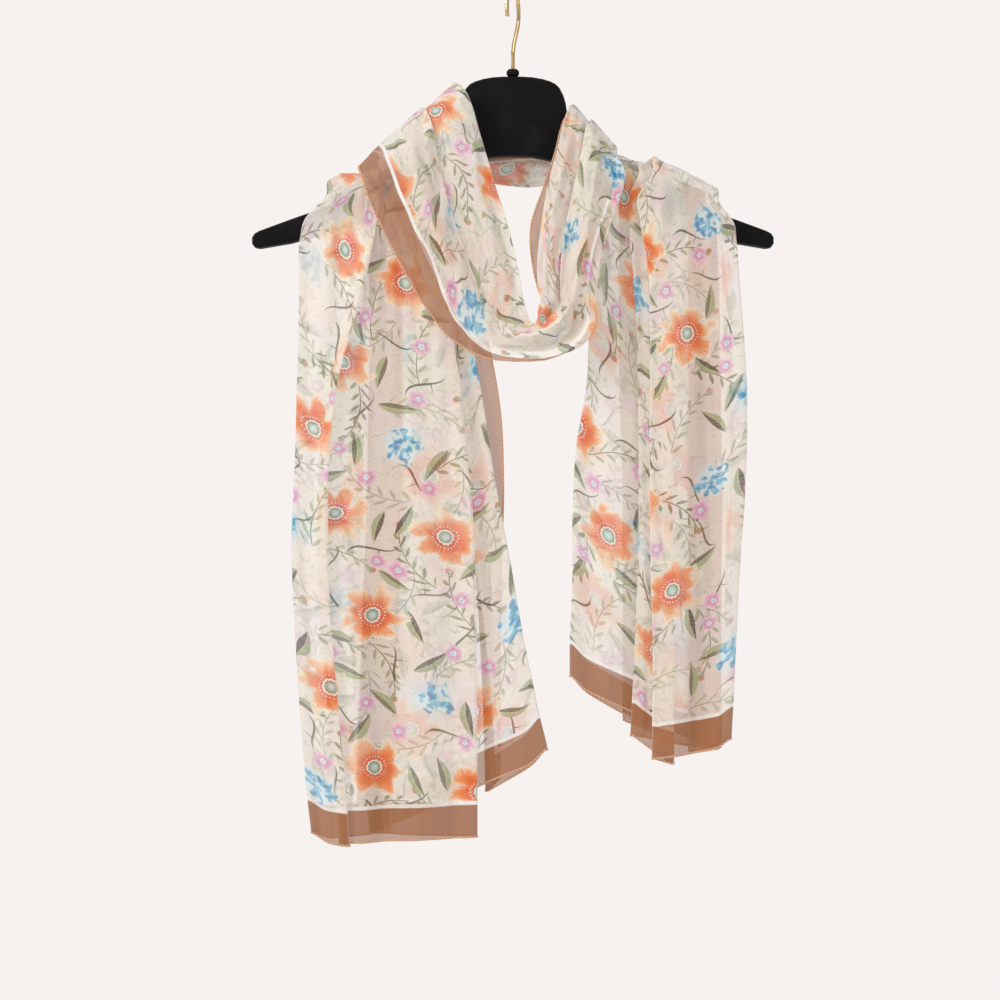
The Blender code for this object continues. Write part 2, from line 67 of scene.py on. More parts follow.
# The cloth's folded line has nine folds and edges, and eight runs between them. The
# loop shows the runs from the fifth on, and the last one has the brown border. Depth in
# the stack is counted in slots, and the border's edge lies in a slot of its own.
FOLDS = 9
LAST_RUN = 7
LOOP_RUN = 4
STACK_SLOTS = 7.6
EDGE_SLOT = 3.0


class Stretch(Enum):
    """The five stretches of the scarf, from the left hem to the right hem."""

    LEFT_TAIL = "left_tail"
    TURN_INNER = "neck_turn_inner"
    COWL = "front_cowl"
    TURN_OUTER = "neck_turn_outer"
    RIGHT_TAIL = "right_tail"


class Mark(Enum):
    """The kinds of motif in the print, each stored as an attribute of the faces' corners."""

    BLOOM = "mark_bloom"
    BLUET = "mark_bluet"
    PINK = "mark_pink"
    LEAF = "mark_leaf"
    BLADE = "mark_blade"
    SPRIG = "mark_sprig"
    TWIG = "mark_twig"


class Side(Enum):
    """Which face of the folded stack a crease belongs to."""

    FRONT = "front"
    BACK = "back"


# ------------------------------------------------------------------ the folded path

HANGER_TOP: Table = (
    (0.0, -73.4), (8.0, -73.5), (16.0, -74.0), (24.0, -75.4), (30.0, -77.2), (34.5, -79.4),
    (38.0, -83.0), (40.8, -88.6), (42.8, -95.0), (44.0, -104.0), (44.8, -115.0), (46.0, -125.0),
    (48.5, -130.5), (53.0, -134.8), (60.0, -138.9), (70.0, -143.6), (80.0, -148.0),
    (100.0, -159.0), (125.0, -170.5), (150.0, -178.5), (180.0, -189.0), (205.0, -198.2),
    (209.0, -200.4), (211.0, -203.6),
)

LEFT_TAIL: Table = (
    # z, front, layer spacing, then the place of each of the nine folds
    (-138.0, -22.5, 1.9, -56.0, -102.0, -60.0, -121.0, -71.0, -116.0, -108.0, -150.0, -98.0),
    (-175.0, -23.0, 1.9, -46.0, -94.0, -52.0, -119.0, -66.0, -115.0, -107.0, -160.0, -97.0),
    (-205.0, -24.5, 2.0, -39.0, -86.0, -46.0, -118.0, -61.0, -119.0, -111.0, -171.0, -94.0),
    (-240.0, -26.5, 2.1, -32.0, -75.0, -41.0, -119.0, -55.0, -126.0, -118.0, -172.0, -92.0),
    (-280.0, -29.0, 2.2, -22.0, -62.0, -34.0, -122.0, -47.0, -137.0, -129.0, -172.0, -90.0),
    (-330.0, -30.0, 2.6, -11.5, -49.0, -25.0, -128.0, -41.0, -150.0, -142.0, -173.5, -89.5),
    (-390.0, -31.0, 2.8, -7.5, -36.0, -16.0, -133.5, -35.5, -156.0, -147.5, -175.0, -89.0),
    (-460.0, -31.0, 3.0, -9.5, -31.0, -3.0, -133.5, -29.5, -157.0, -148.0, -178.0, -90.0),
    (-540.0, -30.0, 3.0, -10.5, -26.0, 11.0, -131.0, -29.5, -153.0, -144.0, -174.0, -93.5),
    (-620.0, -29.0, 3.0, -10.5, -23.0, 28.0, -123.0, -28.5, -145.0, -136.0, -168.5, -97.0),
    (-700.0, -28.0, 3.0, -10.5, -21.5, 30.5, -113.0, -28.5, -139.0, -130.0, -161.0, -98.5),
)
LEFT_HEM = (-641.0, -651.0, -624.0, -684.0, -686.5, -691.5, -693.0, -689.5, -682.0)
LEFT_CREST: Table = ((-160.0, 17.0), (-138.0, 21.0), (-122.0, 16.0), (-100.0, 14.5), (-50.0, 14.5))

RIGHT_TAIL: Table = (
    (-145.0, -26.5, 2.3, 88.0, 124.0, 90.0, 152.0, 101.0, 130.0, 112.0, 166.0, 138.0),
    (-175.0, -26.5, 2.3, 86.5, 124.0, 80.0, 162.0, 93.0, 119.0, 99.0, 173.0, 141.0),
    (-205.0, -27.5, 2.3, 86.5, 124.0, 71.0, 168.5, 93.5, 121.0, 104.0, 179.0, 141.5),
    (-240.0, -28.0, 2.4, 86.5, 124.0, 65.5, 172.0, 97.0, 126.0, 109.0, 182.0, 141.5),
    (-280.0, -29.0, 2.5, 86.5, 124.0, 61.5, 175.0, 99.0, 128.0, 110.0, 185.0, 141.5),
    (-330.0, -30.0, 2.6, 87.0, 124.0, 59.0, 177.5, 100.5, 128.0, 109.5, 188.0, 141.5),
    (-390.0, -31.0, 2.8, 89.0, 124.0, 47.5, 177.5, 101.0, 128.0, 109.5, 187.5, 141.5),
    (-460.0, -31.0, 3.0, 89.5, 124.0, 48.5, 174.0, 100.5, 128.0, 110.0, 182.5, 141.5),
    (-540.0, -30.0, 3.0, 89.5, 123.0, 45.5, 170.0, 97.5, 129.0, 112.0, 178.5, 141.5),
    (-640.0, -29.0, 3.0, 89.5, 122.0, 46.5, 167.0, 92.5, 129.0, 111.0, 174.0, 141.5),
)
RIGHT_HEM = (-594.0, -606.0, -565.0, -618.0, -605.0, -627.0, -623.0, -614.0, -618.0)
RIGHT_CREST: Table = ((80.0, 17.0), (112.0, 26.0), (134.0, 24.5), (150.0, 21.0), (175.0, 17.0))

# Each station of the band between the two crests: the outer and the inner edge of its
# outer face, the stack's thickness at each and the last run's two depth slots, then
# the share of the way from outer to inner edge at which each fold lies.
TURNS: tuple[tuple[str, Table, tuple[float, ...]], ...] = (
    ("inner_l0", ((-149.0, 13.5, -168.0), (-60.0, 12.5, -121.0), (14.0, 13.5), (3.0, 3.0)),
     (0.97, 0.47, 0.91, 0.28, 0.86, 0.37, 0.46, 0.0, 0.55)),
    ("inner_l1", ((-141.0, 22.0, -184.0), (-57.5, 21.5, -128.0), (13.5, 13.0), (3.0, 3.0)),
     (0.97, 0.42, 0.89, 0.26, 0.87, 0.39, 0.49, 0.0, 0.55)),
    ("inner_l1b", ((-116.0, 25.0, -193.0), (-52.0, 24.5, -127.0), (12.8, 12.8), (3.0, 3.0)),
     (0.96, 0.32, 0.91, 0.22, 0.92, 0.41, 0.52, 0.0, 0.55)),
    ("inner_l2", ((-84.0, 24.0, -189.0), (-44.0, 24.0, -122.0), (12.4, 12.4), (3.0, 3.0)),
     (0.90, 0.10, 0.94, 0.14, 0.98, 0.43, 0.55, 0.0, 0.57)),
    ("inner_l3", ((-56.0, 22.5, -168.0), (-32.0, 22.5, -112.0), (11.8, 11.8), (3.0, 3.0)),
     (0.70, -0.12, 0.94, 0.10, 1.0, 0.44, 0.56, 0.0, 0.62)),
    ("inner_mid_l", ((-30.0, 21.5, -142.0), (-18.0, 21.5, -99.0), (11.8, 11.8), (3.0, 3.0)),
     (0.45, -0.42, 0.95, 0.08, 1.0, 0.44, 0.56, 0.0, 0.65)),
    ("inner_mid_r", ((22.0, 21.5, -138.5), (22.0, 21.5, -94.0), (11.8, 11.8), (3.0, 3.0)),
     (0.52, -0.50, 0.95, 0.08, 1.0, 0.44, 0.56, 0.0, 0.65)),
    ("inner_r2", ((62.0, 21.5, -146.0), (47.0, 21.0, -99.0), (12.6, 12.6), (3.0, 3.0)),
     (0.74, -0.04, 0.92, 0.10, 1.0, 0.46, 0.58, 0.0, 0.50)),
    ("inner_r1", ((77.5, 15.0, -141.0), (56.0, 14.0, -99.0), (13.2, 13.2), (3.0, 3.0)),
     (0.80, 0.12, 0.90, 0.12, 1.0, 0.48, 0.60, 0.0, 0.36)),
    ("right_crest", ((84.5, -1.0, -131.5), (52.0, -1.0, -92.5), (13.0, 12.0), (3.0, 3.0)),
     (0.85, 0.22, 0.90, 0.16, 1.0, 0.50, 0.62, 0.0, 0.24)),
    ("right_leg_1", ((86.0, -20.5, -139.0), (45.0, -20.5, -102.0), (12.2, 11.4), (3.0, 3.0)),
     (0.96, 0.24, 0.90, 0.18, 1.0, 0.52, 0.64, 0.0, 0.16)),
    ("right_leg_2", ((90.0, -32.0, -154.0), (36.0, -27.0, -131.0), (11.8, 11.8), (3.0, 3.0)),
     (1.02, 0.24, 0.90, 0.18, 1.0, 0.54, 0.66, 0.0, 0.12)),
    ("right_leg_3", ((86.0, -38.0, -173.0), (28.0, -34.0, -162.0), (11.8, 11.8), (3.0, 3.0)),
     (1.06, 0.22, 0.90, 0.18, 1.0, 0.55, 0.66, 0.0, 0.12)),
    ("right_leg_4", ((77.0, -42.0, -197.0), (22.0, -39.0, -196.0), (12.0, 11.8), (3.0, 3.0)),
     (1.15, 0.22, 0.90, 0.18, 1.0, 0.54, 0.64, 0.0, 0.12)),
    ("right_leg_5", ((69.0, -46.0, -224.0), (19.0, -43.0, -226.0), (12.5, 12.0), (3.0, 3.0)),
     (1.08, 0.22, 0.90, 0.18, 1.0, 0.50, 0.62, 0.0, 0.12)),
    ("right_leg_6", ((66.0, -49.0, -254.0), (19.5, -46.0, -248.0), (13.0, 12.5), (3.0, 3.0)),
     (0.98, 0.22, 0.90, 0.18, 1.0, 0.50, 0.62, 0.0, 0.12)),
    ("cowl_right", ((65.0, -52.0, -281.0), (21.0, -48.0, -257.0), (13.0, 13.0), (2.6, 3.0)),
     (0.90, 0.22, 0.88, 0.18, 1.0, 0.50, 0.62, 0.0, 0.11)),
    ("cowl_low_r", ((52.0, -54.0, -295.0), (19.5, -49.0, -266.0), (13.0, 13.0), (2.0, 3.2)),
     (0.88, 0.24, 0.86, 0.20, 1.0, 0.50, 0.62, 0.0, 0.08)),
    ("cowl_low", ((30.0, -55.0, -303.0), (19.0, -50.0, -270.5), (13.0, 13.0), (1.4, 3.4)),
     (0.86, 0.28, 0.86, 0.24, 1.0, 0.52, 0.62, 0.02, 0.02)),
    ("cowl_low_l", ((2.0, -54.0, -304.5), (16.5, -50.0, -274.0), (13.0, 13.0), (0.8, 2.4)),
     (0.86, 0.32, 0.86, 0.28, 1.0, 0.54, 0.64, 0.08, -0.02)),
    ("cowl_left", ((-24.0, -52.0, -302.0), (13.0, -49.0, -271.5), (13.0, 12.5), (0.4, 1.2)),
     (0.88, 0.34, 0.88, 0.30, 1.0, 0.54, 0.64, 0.16, 0.0)),
    ("left_leg_6", ((-46.0, -49.0, -290.0), (9.5, -47.0, -261.0), (12.5, 12.0), (0.3, 0.8)),
     (0.90, 0.36, 0.90, 0.32, 1.0, 0.52, 0.62, 0.22, 0.0)),
    ("left_leg_5", ((-69.0, -46.0, -263.0), (5.0, -44.0, -236.0), (12.0, 12.0), (0.2, 0.6)),
     (0.92, 0.36, 0.92, 0.32, 1.0, 0.50, 0.58, 0.24, 0.0)),
    ("left_leg_4", ((-88.0, -43.0, -231.0), (-3.5, -42.0, -199.0), (11.8, 11.8), (0.2, 0.6)),
     (0.92, 0.38, 0.92, 0.34, 1.0, 0.49, 0.57, 0.24, 0.0)),
    ("left_leg_3", ((-101.0, -40.5, -206.0), (-14.5, -39.5, -163.0), (11.8, 11.8), (0.2, 0.6)),
     (0.92, 0.38, 0.92, 0.34, 1.0, 0.50, 0.58, 0.24, 0.0)),
    ("left_leg_2", ((-112.5, -38.0, -181.0), (-25.5, -36.0, -126.0), (11.8, 11.8), (0.2, 0.6)),
     (0.92, 0.38, 0.92, 0.34, 1.0, 0.53, 0.61, 0.24, 0.0)),
    ("left_leg_1", ((-121.5, -33.0, -156.5), (-37.5, -26.0, -88.5), (12.0, 12.0), (0.2, 0.6)),
     (0.92, 0.38, 0.92, 0.34, 1.0, 0.58, 0.66, 0.22, 0.0)),
    ("left_crest", ((-125.5, -3.0, -144.0), (-48.5, -2.0, -74.5), (12.5, 12.5), (0.4, 1.2)),
     (0.90, 0.38, 0.92, 0.32, 1.0, 0.60, 0.68, 0.14, 0.0)),
    ("outer_l1", ((-112.0, 34.0, -158.0), (-48.0, 31.0, -82.0), (12.0, 12.0), (1.4, 3.2)),
     (0.84, 0.34, 0.92, 0.26, 1.0, 0.54, 0.64, 0.02, 0.02)),
    ("outer_l2", ((-70.0, 37.5, -156.0), (-36.0, 37.0, -87.0), (11.8, 11.8), (2.4, 3.0)),
     (0.76, 0.26, 0.92, 0.18, 1.0, 0.50, 0.60, 0.0, 0.16)),
    ("outer_mid", ((2.0, 36.5, -137.0), (2.0, 36.5, -84.0), (11.8, 11.8), (3.0, 3.0)),
     (0.70, 0.24, 0.92, 0.16, 1.0, 0.48, 0.60, 0.0, 0.38)),
    ("outer_r2", ((66.0, 36.0, -156.0), (40.0, 36.0, -97.0), (12.0, 12.0), (3.0, 3.0)),
     (0.74, 0.26, 0.92, 0.16, 1.0, 0.48, 0.62, 0.0, 0.40)),
    ("outer_r1", ((116.0, 34.0, -176.0), (67.0, 34.0, -117.0), (15.2, 15.2), (3.0, 3.0)),
     (0.84, 0.36, 0.94, 0.16, 0.96, 0.48, 0.66, 0.0, 0.38)),
    ("outer_r0", ((148.0, 19.0, -172.0), (86.0, 19.0, -128.0), (16.0, 14.0), (3.0, 3.0)),
     (0.94, 0.46, 0.97, 0.18, 0.90, 0.48, 0.70, 0.0, 0.36)),
)


def unit(vectors: np.ndarray) -> np.ndarray:
    """Scale vectors to length one."""
    return vectors / np.maximum(np.linalg.norm(vectors, axis=-1, keepdims=True), 1e-9)


def ease(values: np.ndarray, low: float, high: float) -> np.ndarray:
    """Rise smoothly from 0 at low to 1 at high."""
    part = np.clip((values - low) / (high - low), 0.0, 1.0)
    return part * part * (3.0 - 2.0 * part)


def gone_along(lines: np.ndarray) -> np.ndarray:
    """Distance gone along lines whose points follow the first axis, from 0 at the start."""
    steps = np.linalg.norm(np.diff(lines, axis=0), axis=-1)
    return np.concatenate((np.zeros_like(steps[:1]), np.cumsum(steps, axis=0)))


def normals_of(points: np.ndarray) -> np.ndarray:
    """Normals of a grid of points: the cross of its slopes along the rows and the columns."""
    return unit(np.cross(np.gradient(points, axis=1), np.gradient(points, axis=0)))


def by_seam(rows: int, seams: np.ndarray, marks: Table) -> np.ndarray:
    """Value of each row: straight steps between marks, each (number of a seam, rows past it, value)."""
    places = [seams[int(seam)] + past for seam, past, _ in marks]
    return np.interp(np.arange(rows), places, [value for _, _, value in marks])


@dataclass(frozen=True)
class FoldLine:
    """The folded line of a cross-section, as columns that run from edge to edge.

    A column sits on one run between two folds. Near a fold the line turns on half
    an ellipse, and between the folds it is straight. A slot is a layer's place in the
    depth of the stack, 0 at the front.
    """

    slots: tuple[float, ...] = (STACK_SLOTS, 6.3, 5.0, 4.0, 2.0, 1.0, 0.0, EDGE_SLOT)
    points: tuple[int, ...] = (20, 24, 42, 32, 34, 5, 24, 24)
    reach: float = 2.2
    bend: int = 3

    def columns(self) -> tuple[np.ndarray, ...]:
        """Lay out the columns, bend by bend and run by run.

        Returns:
            For each column its run, its shares of the bend at the run's start and at its
            end, its share of the straight part, how far its bend has turned, and the run
            on the other side of its bend.
        """
        found = []
        angles = np.linspace(0.0, 0.5 * math.pi, self.bend + 1)
        for run, count in enumerate(self.points):
            if run > 0:
                found += [(run, 1.0 - math.cos(a), 0.0, 0.0, math.sin(a), run - 1) for a in angles[:-1]]
            found += [(run, 1.0, 0.0, share, 1.0, run) for share in np.linspace(0.0, 1.0, count)]
            if run < LAST_RUN:
                found += [(run, 1.0, math.cos(a), 1.0, math.sin(a), run + 1) for a in angles[-2:0:-1]]
        run, lead, tail, share, turn, other = np.array(found).T
        return run.astype(int), lead, tail, share, turn, other.astype(int)

    def lay(self, places: np.ndarray, reach: float, tuck: tuple[float, float]) -> np.ndarray:
        """Lay the line out.

        Args:
            places: place of each of the nine folds, one row for each column or one row.
            reach: how far a bend reaches back from its fold, in the unit of places.
            tuck: depth slots of the last run at its fold and at the edge.

        Returns:
            One (place, slot, fold number) row for each column.
        """
        run, lead, tail, share, turn, other = self.columns()
        rows = np.broadcast_to(np.asarray(places, float), (len(run), FOLDS))
        start = np.take_along_axis(rows, run[:, None], axis=1)[:, 0]
        end = np.take_along_axis(rows, run[:, None] + 1, axis=1)[:, 0]
        step = np.sign(end - start) * np.minimum(reach, 0.25 * np.abs(end - start))
        first = np.where(run > 0, step, 0.0)
        final = np.where(run < LAST_RUN, step, 0.0)
        place = start + first * lead + final * tail + (end - start - first - final) * share
        slots = np.array(self.slots[:-1] + (tuck[0],))
        own = slots[run] + np.where(run == LAST_RUN, (tuck[1] - tuck[0]) * share, 0.0)
        slot = own + 0.5 * (slots[other] - own) * (1.0 - turn) * (other != run)
        return np.column_stack((place, slot, run + share))


@dataclass(frozen=True)
class ScarfPath:
    """The middle surface of the folded scarf, from hem to hem."""

    line: FoldLine = FoldLine()
    arm_half: float = 7.0
    clear: float = 1.3
    corner: float = 1.0
    crest_turns: tuple[float, float] = (32.0, 66.0)
    tail_drop: float = 7.0
    tail_steps: tuple[float, ...] = (0, 0.04, 0.09, 0.15, 0.22, 0.30, 0.40, 0.52, 0.66, 0.80, 0.92, 1)
    row_gap: float = 3.0

    def arm(self, x: np.ndarray) -> np.ndarray:
        """Height of the hanger's top edge at a distance from its middle."""
        table = np.array(HANGER_TOP)
        return np.interp(np.abs(x), table[:, 0], table[:, 1])

    def crest(self, line: np.ndarray, stack: Table) -> list[np.ndarray]:
        """Lay a folded line over the arm: on top, then turned twice round the front corner.

        Args:
            line: (place, slot, fold number) rows.
            stack: (place along the arm, thickness of the layers).

        Returns:
            Three sections of (x, y, z) rows.
        """
        place = line[:, 0]
        table = np.array(stack)
        lift = self.clear + np.interp(place, table[:, 0], table[:, 1]) * (1.0 - line[:, 1] / STACK_SLOTS)
        sections = [np.column_stack((place, np.zeros(len(place)), self.arm(place) + lift))]
        for angle in np.radians(self.crest_turns):
            y = self.corner - self.arm_half - math.sin(angle) * (lift + self.corner)
            z = self.arm(place) - self.corner + math.cos(angle) * (lift + self.corner)
            sections.append(np.column_stack((place, y, z)))
        return sections

    def tail(self, table: Table, hems: tuple[float, ...], stack: Table) -> np.ndarray:
        """Work out a tail's sections from the arm's top down to its slanting hem.

        Below the crest a section's points lie at shares of the way down from the arm to
        the hem. Their places are read from the table at that height, and their depth is
        the front's plus the slot times the layer spacing.

        Args:
            table: height, front, layer spacing and fold places, row by row.
            hems: height of the hem at each fold.
            stack: thickness of the layers along the arm.

        Returns:
            Sections by columns by (x, y, z).
        """
        rows = np.array(table)
        tuck = (EDGE_SLOT, EDGE_SLOT)
        top = self.line.lay(rows[0, 3:], self.line.reach, tuck)
        sections = self.crest(top, stack)
        folds = np.arange(float(FOLDS))
        begin = self.arm(np.interp(top[:, 2], folds, rows[0, 3:])) - self.tail_drop
        finish = np.interp(top[:, 2], folds, np.array(hems))
        for step in self.tail_steps:
            height = begin + step * (finish - begin)
            values = np.column_stack([np.interp(-height, -rows[:, 0], item) for item in rows[:, 1:].T])
            line = self.line.lay(values[:, 2:], self.line.reach, tuck)
            sections.append(np.column_stack((line[:, 0], values[:, 0] + line[:, 1] * values[:, 1], height)))
        return np.array(sections)

    def turns(self, start: np.ndarray, finish: np.ndarray) -> np.ndarray:
        """Work out the band's sections between the middles of the two crests.

        A point is the outer edge, plus its share of the way to the inner edge, less its
        depth in the stack along the direction square to the band.

        Args:
            start: the middle of the left tail's crest.
            finish: the middle of the right tail's crest.

        Returns:
            Sections by columns by (x, y, z).
        """
        outer = np.array([row[1][0] for row in TURNS])
        inner = np.array([row[1][1] for row in TURNS])
        middle = np.concatenate(([start], 0.5 * (outer + inner), [finish]))
        outward = unit(np.cross(inner - outer, unit(middle[2:] - middle[:-2])))
        sections = []
        for index, (_, (_, _, stack, tuck), folds) in enumerate(TURNS):
            across = inner[index] - outer[index]
            line = self.line.lay(np.array(folds), self.line.reach / np.linalg.norm(across), tuck)
            place = line[:, 0:1]
            depth = line[:, 1:2] / STACK_SLOTS * (stack[0] + (stack[1] - stack[0]) * place)
            sections.append(outer[index] + place * across - depth * outward[index])
        return np.array(sections)

    def surface(self) -> tuple[np.ndarray, np.ndarray]:
        """Join the sections and put close rows on a smooth curve through them.

        Between two sections each point moves on a cubic that leaves and arrives with
        the slope of its neighbours.

        Returns:
            Rows by columns by (x, y, z), and the row of each of the six seams.
        """
        left = self.tail(LEFT_TAIL, LEFT_HEM, LEFT_CREST)[::-1]
        right = self.tail(RIGHT_TAIL, RIGHT_HEM, RIGHT_CREST)
        turns = self.turns(left[-1].mean(axis=0), right[0].mean(axis=0))
        joined = np.concatenate((left, turns, right))
        gaps = np.linalg.norm(np.diff(joined.mean(axis=1), axis=0), axis=1)
        slope = np.gradient(joined, np.concatenate(([0.0], np.cumsum(gaps))), axis=0)
        counts = np.maximum(np.ceil(gaps / self.row_gap).astype(int), 2)
        at = np.concatenate((np.repeat(np.arange(len(gaps)), counts), [len(gaps) - 1]))
        firsts = np.concatenate(([0], np.cumsum(counts)))
        part = np.concatenate(((np.arange(firsts[-1]) - firsts[at[:-1]]) / counts[at[:-1]], [1.0]))
        part = part[:, None, None]
        gap = gaps[at][:, None, None]
        keep = 2.0 * part**3 - 3.0 * part**2 + 1.0
        points = keep * joined[at] + (1.0 - keep) * joined[at + 1]
        points += (part**3 - 2.0 * part**2 + part) * gap * slope[at]
        points += (part**3 - part**2) * gap * slope[at + 1]
        names = [row[0] for row in TURNS]
        crests = [len(left) + names.index(name) for name in ("right_crest", "left_crest")]
        seams = [0, len(left) - 1, *crests, len(left) + len(turns), len(joined) - 1]
        return points, firsts[seams]


# ------------------------------------------------------------------ drape


@dataclass(frozen=True)
class Crease:
    """A soft ridge or trough along a line in the front view.

    Each point is (x, z, height, width to the left, width to the right), with left and
    right as seen when moving along the line. A trough has a negative height.
    """

    stretches: tuple[Stretch, ...]
    points: Table
    side: Side = Side.FRONT

    def height(self, x: np.ndarray, z: np.ndarray) -> np.ndarray:
        """Work out the crease's height: its own height times a bell of the distance to its line.

        Args:
            x: the points' places across the front view.
            z: the points' heights.

        Returns:
            How far the crease lifts each point.
        """
        table = np.array(self.points)
        best = np.full(x.shape, np.inf)
        value = np.zeros(x.shape)
        for a, b in zip(table[:-1], table[1:]):
            run = b[:2] - a[:2]
            share = ((x - a[0]) * run[0] + (z - a[1]) * run[1]) / (run @ run)
            share = np.clip(share, 0.0, 1.0)
            dx = x - a[0] - share * run[0]
            dz = z - a[1] - share * run[1]
            away = dx * dx + dz * dz
            left = (run[0] * dz - run[1] * dx) > 0.0
            mixed = [a[k] + share * (b[k] - a[k]) for k in (2, 3, 4)]
            width = np.where(left, mixed[1], mixed[2])
            bell = mixed[0] * np.exp(-away / width**2)
            value = np.where(away < best, bell, value)
            best = np.minimum(best, away)
        return value


TAILS = (Stretch.LEFT_TAIL, Stretch.RIGHT_TAIL)
LEFT = (Stretch.LEFT_TAIL,)
RIGHT = (Stretch.RIGHT_TAIL,)
LOOP = (Stretch.COWL,)
BACK_TURNS = (Stretch.TURN_INNER, Stretch.TURN_OUTER)

